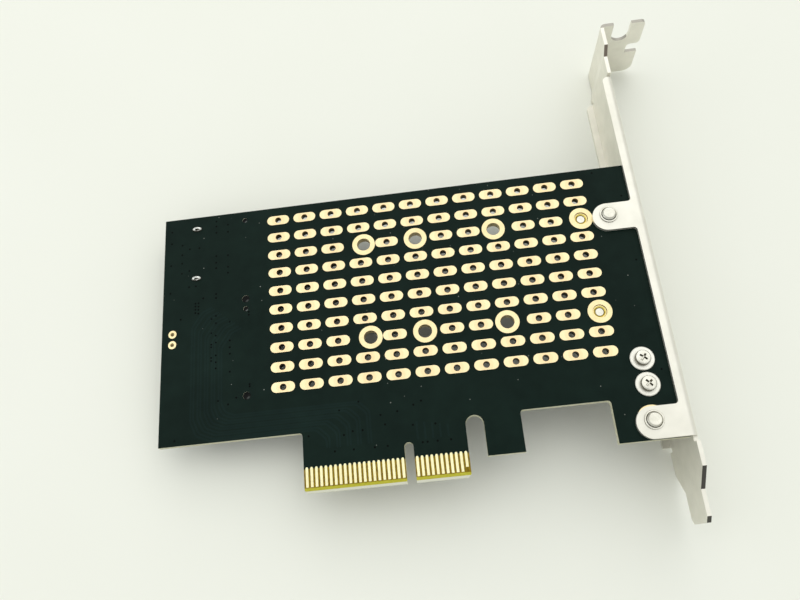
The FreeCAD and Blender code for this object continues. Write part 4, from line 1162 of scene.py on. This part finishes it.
# %% [markdown]
# ## A tree that sweeps traces
# Each trace could be a curve of its own with a bevel. One tree instead takes all the paths as
# edges, turns them into curves, eases their corners and sweeps one flat profile along them all.

# %% Trace tree
EASED_STEPS = 7


def make_trace_tree():
    tree, given = new_tree("buried trace", (("Width", 0.0002), ("Rise", 0.00002), ("Bend", 0.0004)))
    path = place(tree, "GeometryNodeMeshToCurve", None, {"Mesh": given["Marks"]})
    eased = place(tree, "GeometryNodeFilletCurve", {"mode": "POLY"},
                  {"Curve": path.outputs[0], "Radius": given["Bend"], "Count": EASED_STEPS,
                   "Limit Radius": True})
    strip = place(tree, "GeometryNodeCurvePrimitiveQuadrilateral", {"mode": "TRAPEZOID"}, {
        "Height": given["Rise"], "Bottom Width": given["Width"],
        "Top Width": calc(tree, "MULTIPLY", given["Width"], TAPER), "Offset": 0.0})
    swept = place(tree, "GeometryNodeCurveToMesh", None,
                  {"Curve": eased.outputs[0], "Profile Curve": strip.outputs[0], "Fill Caps": True})
    return end_tree(tree, given, swept.outputs[0])


TRACE_TREE = make_trace_tree()
print("trace tree:", len(TRACE_TREE.nodes), "nodes")

# %% [markdown]
# ## Where the vias lie
# A designer puts a via wherever a trace has to change sides, so most stand in short columns and
# some stand alone. Chance would scatter them evenly, as no board has them. They are listed by
# column instead, told from the first pad of the field, so that they move with it.

# %% Set out the vias
OVER_BOARD = 0.004


def on_field(across, down):
    """A place told from the field's first pad: how far right of it, and how far down."""
    return (pad_first[0] + across, pad_first[1] - down, board_top + OVER_BOARD)


VIA_COLUMNS = {
    -15.0: (-1.7, -0.4, 1.3, 7.4, 9.1, 10.5, 17.0, 18.0, 22.4, 24.1, 27.1, 28.7, 31.7, 33.3, 34.7),
    -12.2: (-0.5, 1.4, 7.5, 10.5, 12.0, 43.1),
    -11.8: (24.2, 28.6, 30.2, 31.7, 35.8),
    -16.0: (23.0, 26.4, 29.1, 29.7, 32.2, 32.9),
    -19.8: (14.5, 18.8, 19.5, 20.3, 21.1),
    -19.1: (4.8, 18.8, 19.6, 20.4, 21.3),
    -21.4: (4.8, 10.4, 14.5),
    -23.2: (3.6, 6.1, 8.3, 10.9, 22.3),
    -25.8: (-0.2, 2.9, 8.6, 15.6),
    -7.4: (22.3, 23.0, 39.1, 39.6),
    79.9: (4.5, 20.6, 45.6)}
VIA_SPOTS = (
    (-18.0, 17.7), (-10.4, 41.8), (-14.4, 42.1), (-23.9, 49.8), (5.1, 51.8), (11.9, 47.0),
    (16.1, 45.6), (29.4, 46.8), (27.7, 47.5), (24.2, 48.5), (21.4, 51.0), (20.6, 48.9),
    (16.6, 51.7), (14.5, 51.7), (12.6, 52.3), (31.9, 51.9), (27.2, 51.7), (74.4, -2.3))
ABOVE_CONTACTS = (10.5, 14.5, 18.9, 21.6, 28.9, 29.9, 32.0, 34.8)
via_places = [on_field(x, y) for x, column in VIA_COLUMNS.items() for y in column]
via_places += [on_field(x, 55.5) for x in ABOVE_CONTACTS] + [on_field(*spot) for spot in VIA_SPOTS]
vias = grow("tented_vias", mark_mesh("via marks", via_places), VIA_TREE,
            {"Width": 0.44 * MM, "Rise": 0.015 * MM, "Flats": 10}, via_mask)
finish_piece(vias, "solder_mask_board")
print(len(via_places), "vias")

# %% [markdown]
# ## Where the traces run
# Fast signals run in pairs that keep the same gap all the way. Five pairs come down from the
# socket, turn along the lower edge as a bundle and end at the contacts. Each lane starts a step
# further in and turns in a tighter corner, so two loops set them all out. Five short stubs lie
# over the other contacts.

# %% Route the traces
LANES, LANE_STEP, PAIR_GAP = 5, 1.55, 0.62
CORNER = 4.4
STUBS, STUB_START, STUB_STEP = 5, 28.0, 1.6
trace_paths = []
for lane in range(LANES):
    for side in (-PAIR_GAP / 2, PAIR_GAP / 2):
        left, low = -20.2 + lane * LANE_STEP + side, 50.4 - lane * 1.15 - side * 0.8
        start, round_in = 21.4 + lane * 1.3 + side * 0.8, CORNER - lane * 0.4
        end = 9.2 + lane * 2.2 + side
        trace_paths.append([
            on_field(left + 4.6, start - 0.9), on_field(left + 2.4, start),
            on_field(left, start + 3.4), on_field(left, low - round_in),
            on_field(left + round_in * 0.3, low - round_in * 0.3), on_field(left + round_in, low),
            on_field(end - 2.2, low), on_field(end, low + 2.2), on_field(end, 54.6)])
for lane in range(STUBS):
    x = STUB_START + lane * STUB_STEP
    trace_paths.append([on_field(x, 51.0 + 0.3 * lane), on_field(x, 54.8)])
traces = grow("buried_traces", mark_mesh("trace marks", [], trace_paths), TRACE_TREE,
              {"Width": 0.42 * MM, "Rise": 0.008 * MM, "Bend": 1.6 * MM}, raised_mask)
finish_piece(traces, "solder_mask_board")
print(len(trace_paths), "traces")

# %% [markdown]
# ## The profile of a screw
# A screw has a domed head, and a thread that winds down to its tip. A true helix has an open start
# and end and needs many faces. At this size rings look the same, so the whole screw is one profile
# that the lathe turns.

# %% Screw profiles
def thread_profile(radius, bottom, top, pitch, blunt):
    """Ridges and roots from the tip up to the head. blunt is how wide the tip's flat is."""
    root = radius * 0.86
    lead = radius * (1 - blunt) + 0.06
    profile = [(0.0, bottom), (radius * blunt * 0.94, bottom), (radius * blunt, bottom + 0.05),
               (radius * 0.97, bottom + lead), (root, bottom + lead + pitch * 0.3)]
    height = bottom + lead + pitch * 0.3
    while height + pitch < top:
        profile += [(radius, height + pitch * 0.35), (radius, height + pitch * 0.55),
                    (root, height + pitch * 0.95)]
        height += pitch
    return profile + [(root, top)]


def dome_profile(radius, bottom, top, lip=0.55):
    """A pan head: an upright rim, then a rounded shoulder and a nearly flat crown."""
    rise = top - bottom
    profile = [(radius * 0.97, bottom), (radius, bottom + rise * 0.08),
               (radius, bottom + rise * lip)]
    for step in range(1, 7):
        angle = math.radians(15 * step)
        profile.append((radius * (0.82 + 0.18 * math.cos(angle)),
                        bottom + rise * (lip + (0.93 - lip) * math.sin(angle))))
    return profile + [(radius * 0.3, bottom + rise * 0.985), (0.0, top)]


print("a head has", len(dome_profile(1.0, 0.0, 1.0)), "rings")

# %% [markdown]
# ## The cross in the head
# The driver's cross is four tapering walls. The tool that cuts it is a plus-shaped block, wide at
# the top and narrow at its foot. The turned screw loses it with one Boolean cut.

# %% Cross and screw
FOOT_SHARE, ABOVE_HEAD = 0.5, 0.3
CROSS_REACH, CROSS_WIDTH, CROSS_DEPTH = 0.66, 0.16, 0.62


def cross_tool(reach, wide, depth, top):
    """A plus-shaped block, wide at the top and narrow at its foot."""
    shape = bmesh.new()
    outline = [(wide, reach), (-wide, reach), (-wide, wide), (-reach, wide), (-reach, -wide),
               (-wide, -wide), (-wide, -reach), (wide, -reach), (wide, -wide), (reach, -wide),
               (reach, wide), (wide, wide)]
    upper = [shape.verts.new((x, y, top + ABOVE_HEAD)) for x, y in outline]
    lower = [shape.verts.new((x * FOOT_SHARE, y * FOOT_SHARE, top - depth)) for x, y in outline]
    close_rims(shape, upper, lower)
    return to_object("cross tool", shape, 20)


def pan_screw(name, head_radius, seat, head_top, shank_radius, tip, pitch, blunt=0.9, flats=28):
    """A cross-headed screw that stands on its tip, with its head up."""
    profile = thread_profile(shank_radius, tip, seat, pitch, blunt)
    screw = turned(name, profile + dome_profile(head_radius, seat, head_top), flats)
    tool = cross_tool(head_radius * CROSS_REACH, head_radius * CROSS_WIDTH,
                      (head_top - seat) * CROSS_DEPTH, head_top)
    return cut_away(screw, tool)


def turned_over(made):
    """Turns a shape head down, about its X axis."""
    made.data.transform(Matrix.Rotation(math.pi, 4, "X"))
    return made


print("cross:", CROSS_REACH, "of the head's radius, and", CROSS_DEPTH, "of its height deep")

# %% [markdown]
# ## The screws in the bracket's ears
# Each ear is held by a screw that comes up from the component side, so its tip shows here and its
# head lies below. Where the thread breaks through the sheet it pushes up a thin collar, which is
# turned as a ring with no thread in it.

# %% Ear screws
places, tip, top = middles("bracket_screws")
ear_screw = turned_over(pan_screw("ear screw", 2.745, 0.785, -tip, 1.5, -top, 0.5, 0.86))
set_out("ear_cross_screws", ear_screw, [(x, y, 0.0, 20) for x, y in places], steel,
        "screw_steel", "bracket_screws", loose=0.4)

EAR_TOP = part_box("bracket")[1].z / MM
# The collar takes the steel finish, so its steep side is painted dark as the shade under its rim.
collar = turned("screw collar", [
    (1.54, EAR_TOP - 0.02), (1.98, EAR_TOP - 0.02), (2.0, EAR_TOP + 0.2), (1.92, EAR_TOP + 0.28),
    (1.7, EAR_TOP + 0.3), (1.54, EAR_TOP + 0.2)], 32)
set_out("ear_thread_collars", collar, [(x, y, 0.0) for x, y in places], steel,
        "nickel_plated_sheet")
print("ear screws", round(top - tip, 2), "mm long")

# %% [markdown]
# ## Parked screws and washers
# Two spare screws wait beside the bracket, each through a washer. A stamped washer has one rounded
# rim, which a plain ring would miss, so its profile is turned with two small chamfers.

# %% Parked screws and washers
places, _, washer_top = middles("spare_washers")
washer = turned("washer", [(1.12, board_top), (2.44, board_top), (2.55, board_top + 0.12),
                           (2.55, washer_top - 0.12), (2.42, washer_top), (1.22, washer_top),
                           (1.12, washer_top - 0.1)], 36)
set_out("rounded_washers", washer, [(x, y, 0.0) for x, y in places], nickel,
        "nickel_plated_sheet", "spare_washers")

places, tip, top = middles("spare_screws")
spare_screw = pan_screw("parked screw", 1.618, washer_top, top, 1.0, tip, 0.4)
set_out("parked_cross_screws", spare_screw, [(x, y, 0.0, turn) for (x, y), turn in zip(
    places, (40, 50))], steel, "screw_steel", "spare_screws")
print("parked screws", round(top - tip, 2), "mm long")

# %% [markdown]
# ## Standoffs and drive screws
# A standoff is a turned brass sleeve that lifts the drive off the board, and a screw from below
# holds the drive on it. The parked ones only touch the board, while the barrels of the others go
# through it. The two kinds differ in their profiles, so each is turned on its own.

# %% Standoffs and drive screws
places, low, high = middles("spare_standoffs")
parked = turned("parked standoff", [
    (1.04, low), (1.42, low), (1.5, low + 0.1), (1.5, low + 1.3), (1.5, low + 1.35),
    (2.36, low + 1.35), (2.45, low + 1.45), (2.45, high - 0.15), (2.36, high), (1.04, high)], 32)
set_out("parked_standoffs", parked, [(x, y, 0.0) for x, y in places], brass,
        "turned_brass", "spare_standoffs")

places, low, high = middles("drive_standoffs")
standoff = turned("drive standoff", [
    (1.04, low), (2.34, low), (2.45, low + 0.12), (2.45, board_under - 0.12), (2.34, board_under),
    (1.47, board_under), (1.47, high - 0.05), (1.43, high), (1.3, high), (1.04, high - 0.24)], 36)
set_out("drive_standoffs_turned", standoff, [(x, y, 0.0) for x, y in places], brass,
        "turned_brass", "drive_standoffs")

places, tip, top = middles("drive_screws")
drive_screw = turned_over(pan_screw("drive screw", 2.158, -low, -tip, 1.0, -top, 0.4))
set_out("drive_cross_screws", drive_screw, [(x, y, 0.0, 35) for x, y in places], steel,
        "screw_steel", "drive_screws", loose=0.6)
print("drive screws", round(top - tip, 2), "mm long")

# %% [markdown]
# ## Solder over the cable port's locks
# Two flat locks of the cable port come through the board, and solder has drawn up round each one as
# a smooth oval dome. A subdivided sphere would do, but a lathe shape that is stretched along the
# board keeps its foot flat and sharp.

# %% Solder domes
places, dome_foot, dome_top = middles("sata_port_solder")
solder_low, solder_high = box_mm("sata_port_solder")
DOME_LENGTH, DOME_WIDTH = 2.4, 1.25
rise = (dome_top - dome_foot) * 2.2
dome = turned("solder dome", [(0.0, dome_foot), (0.5, dome_foot), (0.485, dome_foot + rise * 0.25),
                              (0.42, dome_foot + rise * 0.6), (0.29, dome_foot + rise * 0.88),
                              (0.13, dome_foot + rise * 0.97), (0.0, dome_foot + rise)], 28)
dome.data.transform(Matrix.Diagonal((DOME_LENGTH, DOME_WIDTH, 1.0, 1.0)))
leg = turned("lock leg", [(0.0, dome_foot + rise * 0.2), (0.3, dome_foot + rise * 0.2),
                          (0.5, dome_foot + rise * 1.2), (0.0, dome_foot + rise * 1.2)], 20)
leg.data.transform(Matrix.Translation((0.15 * MM, -0.3 * MM, 0.0)) @ Matrix.Diagonal(
    (1.3, 0.6, 1.0, 1.0)))
middle, half = (solder_low + solder_high) / 2, (solder_high.y - solder_low.y - DOME_WIDTH) / 2
set_out("sata_port_solder_domes", cut_away(dome, leg), [
    (middle.x, middle.y - half, 0.0), (middle.x, middle.y + half, 0.0)],
    solder, "bright_solder", "sata_port_solder")
print("solder domes", round(2 * half, 2), "mm apart")

# %% [markdown]
# ## The spring contacts of the two sockets
# A drive socket holds two rows of springs at half a millimetre, half a pitch aside from each other.
# Each ends in a small foot that is soldered to the board. A foot is one bent strip, and the tree
# for marks sets it out, turned round for the back row. The rows are full here, while a real socket
# leaves out the few places of its key.

# %% Socket springs
SPRING_PITCH, SPRING_WIDTH, SPRING_COUNT = 0.5, 0.22, 38


def spring_foot(low, high, reach):
    """A strip that comes out of the housing, bends down a little and lies flat on the board."""
    shape = bmesh.new()
    thick = high - low
    bent = low + thick * 0.3
    line = [(0.0, low - thick), (0.22, low - thick), (0.42, bent), (reach, bent),
            (reach, high), (0.34, high), (0.16, low), (0.0, low)]
    sides = [[shape.verts.new((x, y, z)) for x, z in line]
             for y in (-SPRING_WIDTH / 2, SPRING_WIDTH / 2)]
    close_rims(shape, *sides)
    return to_object("spring foot", shape, 30)


def dress_socket(label):
    low, high = box_mm(label + "_contacts")
    body_low, body_high = box_mm(label + "_housing")
    reach = high.x - body_high.x
    row_y = (low.y + high.y) / 2
    first = row_y - (SPRING_COUNT - 1) * SPRING_PITCH / 2
    marks = []
    for number in range(SPRING_COUNT):
        y = first + number * SPRING_PITCH
        marks.append((body_high.x, y, 0.0, 0))
        marks.append((body_low.x, y - SPRING_PITCH / 2, 0.0, 180))
    set_out(label + "_springs", spring_foot(low.z, high.z, reach), marks, tin,
            "tinned_metal", label + "_contacts")
    print(len(marks), "springs on", label)


SOCKETS = ("nvme_socket", "sata_drive_socket")
for label in SOCKETS:
    dress_socket(label)

# %% [markdown]
# ## Peg tips
# Each socket stands on two moulded pegs that come up through the board, a large and a small one.
# The tip of a moulded peg sinks a little as it cools. A flat disc would look painted on, so a
# turned dish goes over each peg. One side of its wall is painted grey as a highlight, which reads
# as a thin arc.

# %% Peg finish
RUBBED_GREY, RUBBED_SHARE = paint(110, 116, 114), 0.75


def lit_side(tree, facing, spot):
    """The side of the dish that looks to the free end of the card is painted grey, as a highlight.
    """
    toward = calc(tree, "MULTIPLY_ADD", facing[0], -0.6, calc(tree, "MULTIPLY", facing[1], 0.8))
    return ramp(tree, toward, 0.10, 0.24, 0.0, RUBBED_SHARE), RUBBED_GREY


peg_plastic = make_finish("peg moulding", paint(2, 3, 3), paint(8, 9, 9), (0.5, 0.36),
                          specular=0.10, patch=1.5, grain=0.08, height=0.004,
                          zone=lit_side)
print("pegs:", peg_plastic.name)

# %% [markdown]
# ## The dishes
# The two pegs of a socket stand a set distance apart, the large one nearer the card's contacts.
# The tree for marks takes one shape, and these differ in size, so both dishes are turned straight
# into one mesh, each at its own place.

# %% Peg tips
PEG_SPACING, PEG_AHEAD = 20.1, 3.4
PEG_RADII = (0.84, 0.58)


def peg_tips(label):
    body_low, body_high = box_mm(label + "_housing")
    x, y = body_low.x + PEG_AHEAD, (body_low.y + body_high.y) / 2
    foot, floor, rim = body_high.z - 0.05, body_high.z + 0.01, body_high.z + 0.13
    shape = bmesh.new()
    for side, radius in zip((-1, 1), PEG_RADII):
        turn_profile(shape, [(0.0, foot), (radius, foot), (radius, floor), (radius - 0.03, rim),
                             (radius - 0.05, rim), (radius * 0.5, floor), (0.0, floor)],
                     24, (x, y + side * PEG_SPACING / 2))
    tips = to_object(label + "_peg_tips", shape)
    tips.data.materials.append(peg_plastic)
    finish_piece(tips, "socket_moulding")


for label in SOCKETS:
    peg_tips(label)
print(len(SOCKETS) * len(PEG_RADII), "peg tips")

# %% [markdown]
# ## Bulk capacitors
# Each electrolytic capacitor is a drawn aluminium can on a plastic base. The top has a shallow
# cross pressed in it as a vent. The can is turned, with the rolled neck near its foot, and the
# cross is cut with the same tool as the screws, so no new shape is needed.

# %% Cans
can_places, can_top, can_foot = middles("bulk_capacitors")
CAN_RADIUS, VENT_REACH, VENT_WIDTH, VENT_DEPTH = 2.45, 1.55, 0.07, 0.09


def can_profile(low, high, radius):
    return [(0.0, low), (radius - 0.32, low), (radius - 0.08, low + 0.12), (radius, low + 0.35),
            (radius, high - 1.05), (radius - 0.14, high - 0.85), (radius - 0.14, high - 0.7),
            (radius, high - 0.5), (radius, high), (0.0, high)]


can = turned("can", can_profile(can_top, can_foot, CAN_RADIUS), 36)
vent = turned_over(cross_tool(VENT_REACH, VENT_WIDTH, VENT_DEPTH, -can_top))
set_out("vented_cans", cut_away(can, vent), [(x, y, 0.0, 45) for x, y in can_places],
        aluminium, "can_aluminium", "bulk_capacitors")
print("cans", round(can_foot - can_top, 2), "mm tall")

# %% [markdown]
# ## The marks on the cans
# A dark half-moon on a can's top marks its negative side. It is printed, so a texture would do, but
# a thin raised shape needs no image and keeps a crisp edge at any distance.

# %% Polarity marks
MARK_RADIUS, MARK_HALF_TURN, MARK_STEPS = 1.98, 52, 14

half_moon = bmesh.new()
angles = [math.radians(MARK_HALF_TURN * (2 * step / MARK_STEPS - 1))
          for step in range(MARK_STEPS + 1)]
outline = [(MARK_RADIUS * math.cos(angle), MARK_RADIUS * math.sin(angle)) for angle in angles]
layers = [[half_moon.verts.new((x, y, z)) for x, y in outline]
          for z in (can_top - 0.01, can_top + 0.05)]
close_rims(half_moon, *layers)
set_out("can_polarity_marks", to_object("half moon", half_moon), [
    (x, y, 0.0, 0) for x, y in can_places], vent_ink, "black_epoxy")
print(len(can_places), "marks of", len(outline), "points")

# %% [markdown]
# ## The surface under the card
# The card lies on its parts, on a pale table. Its lowest points are the inner edge of the bracket's
# far flange and the edge of the cable port, so the table is a plane through those two lines. It is
# stage, not a part of the object. From below the table lets the camera through, so that the parts
# on the underside can be looked at.

# %% Table
bracket_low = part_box("bracket")[0]
flange_x = min(corner.co.x for corner in nodes["bracket"].data.vertices
               if corner.co.z < bracket_low.z + 0.05 * MM)
port_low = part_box("sata_port_housing")[0]
fall = (port_low.z - bracket_low.z) / (flange_x - port_low.x)
HALF_TABLE, CLEAR_OF_TABLE = 1.5, 0.02 * MM


def table_height(x):
    return bracket_low.z + (flange_x - x) * fall - CLEAR_OF_TABLE


table_mesh = bpy.data.meshes.new("pale table")
table_mesh.from_pydata([(x, y, table_height(x)) for x, y in (
    (-HALF_TABLE, -HALF_TABLE), (HALF_TABLE, -HALF_TABLE),
    (HALF_TABLE, HALF_TABLE), (-HALF_TABLE, HALF_TABLE))], [], [(0, 1, 2, 3)])
table = bpy.data.objects.new("pale_table", table_mesh)
bpy.context.scene.collection.objects.link(table)
print("table tilt", round(math.degrees(math.atan(fall)), 2), "degrees")

# %% [markdown]
# ## The table's finish
# A pale table keeps the shadows soft and readable. A view from below would only meet its underside,
# so the shader is clear on that side, which Backfacing tells.

# %% Table finish
def make_table_finish():
    finish, tree, shader, spot = new_finish("pale table")
    cloud = use(tree, UNEVEN_COAT, {"Place": spot, "Patch": 0.35})[0]
    tree.links.new(mix_colours(tree, cloud, paint(238, 239, 230), paint(241, 242, 234)),
                   shader.inputs["Base Color"])
    shader.inputs["Roughness"].default_value = 0.7
    shader.inputs["Specular IOR Level"].default_value = 0.2
    below = place(tree, "ShaderNodeNewGeometry").outputs["Backfacing"]
    clear = place(tree, "ShaderNodeBsdfTransparent")
    either = place(tree, "ShaderNodeMixShader", None,
                   {0: below, 1: shader.outputs[0], 2: clear.outputs[0]})
    tree.links.new(either.outputs[0], tree.nodes["Material Output"].inputs[0])
    return finish


table.data.materials.append(make_table_finish())
table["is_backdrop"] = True
print("table finish:", table.data.materials[0].name)

# %% [markdown]
# ## Light
# A wide soft lamp stands above the card, a little towards its top edge, so the shadows fall softly
# towards the tongue. A second stands low behind the top edge, and a third to the free end's side.
# Small hard lamps would throw sharp shadows and burn out the metal. A lamp is given its place, the
# point it looks at, the length of its side, its power and its tint.

# %% Lamps
def soft_lamp(name, stand, target, side, power, tint):
    lamp = bpy.data.lights.new(name, "AREA")
    lamp.shape, lamp.size, lamp.energy, lamp.color = "SQUARE", side, power, tint
    made = bpy.data.objects.new(name, lamp)
    bpy.context.scene.collection.objects.link(made)
    stand, target = Vector(stand), Vector(target)
    made.matrix_world = Matrix.Translation(stand) @ (
        target - stand).to_track_quat("-Z", "Y").to_matrix().to_4x4()


soft_lamp("sky_panel", (0.20, 0.60, 1.05), (0.0, 0.03, 0.0), 1.4, 4.1, (1.0, 0.995, 0.97))
soft_lamp("window_panel", (0.10, 1.35, 0.45), (0.0, 0.05, 0.0), 0.9, 2.0, (1.0, 1.0, 0.99))
soft_lamp("side_panel", (-0.75, 0.15, 0.85), (0.0, 0.03, 0.0), 0.9, 1.6, (0.98, 0.99, 1.0))
lamps = [thing.name for thing in bpy.data.objects if thing.type == "LIGHT"]
print("lamps:", ", ".join(lamps))

# %% [markdown]
# ## The room round the card
# The rest of the light is a plain pale world, which gives the metal something even to mirror. An
# image of a room could do it, but would bring its own colours. Whoever bends over the card takes
# some light away there, so the world is darker in that direction. It shows in the drilled holes and
# on small faces that look that way. The camera itself sees the plain room.

# %% World
ROOM_TINT, ROOM_LIGHT = (0.93, 0.95, 0.92, 1.0), 0.86
SHADED_TOWARD, SHADED_LIGHT = (0.0, -0.33, 0.944), 0.20
SHADE_FADE = (0.93, 0.985)

world = bpy.data.worlds.new("pale room")
bpy.context.scene.world = world
world.use_nodes = True
room = world.node_tree
air = room.nodes["Background"]
air.inputs["Color"].default_value = ROOM_TINT
outward = place(room, "ShaderNodeTexCoord").outputs["Generated"]
toward = place(room, "ShaderNodeVectorMath", {"operation": "DOT_PRODUCT"},
               {0: outward, 1: SHADED_TOWARD}).outputs["Value"]
shade = ramp(room, toward, *SHADE_FADE, ROOM_LIGHT, SHADED_LIGHT)
seen = place(room, "ShaderNodeLightPath").outputs["Is Camera Ray"]
plain = calc(room, "MULTIPLY", seen, ROOM_LIGHT)
room.links.new(calc(room, "MAXIMUM", shade, plain), air.inputs["Strength"])
print("room light", ROOM_LIGHT, "and", SHADED_LIGHT, "where it is shaded")

# %% [markdown]
# ## Camera
# The camera stands close, in front of the tongue and above the board, and looks a little towards
# the top edge. It could be aimed with a Track To constraint, but two directions, where it looks and
# what it calls up, fix its turn for good. They follow from how the rows of pads close up with
# distance.

# %% Camera
LENS, SENSOR, NEAREST, FURTHEST = 31.0, 36.0, 0.005, 10.0
CAMERA_SPOT = (8.96, -14.92, 144.33)
LOOKS_ALONG, CALLS_UP = (-0.0513, 0.3556, -0.9332), (0.1149, 0.9304, 0.3482)

camera = bpy.data.objects.new("close_camera", bpy.data.cameras.new("close_camera"))
bpy.context.scene.collection.objects.link(camera)
camera.data.lens, camera.data.sensor_width = LENS, SENSOR
camera.data.clip_start, camera.data.clip_end = NEAREST, FURTHEST
looks = Vector(LOOKS_ALONG).normalized()
right = looks.cross(Vector(CALLS_UP)).normalized()
up = right.cross(looks)
turn = Matrix((right, up, -looks)).transposed().to_4x4()
camera.matrix_world = Matrix.Translation(Vector(CAMERA_SPOT) * MM) @ turn
bpy.context.scene.camera = camera
bpy.context.scene.view_settings.view_transform = "Standard"
print("camera", round(CAMERA_SPOT[2] - board_top), "mm above the board")

# %% [markdown]
# ## Sizes
# The boxes of the solids and of the dressed object are set side by side in one table.

# %% Sizes and finish
sizes = {"cad": [list(corner) for corner in cad_box],
         "visual": [list(corner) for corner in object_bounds()]}
meshes = sum(thing.type == "MESH" for thing in bpy.data.objects)
print("mesh objects, with the solids and the table:", meshes)
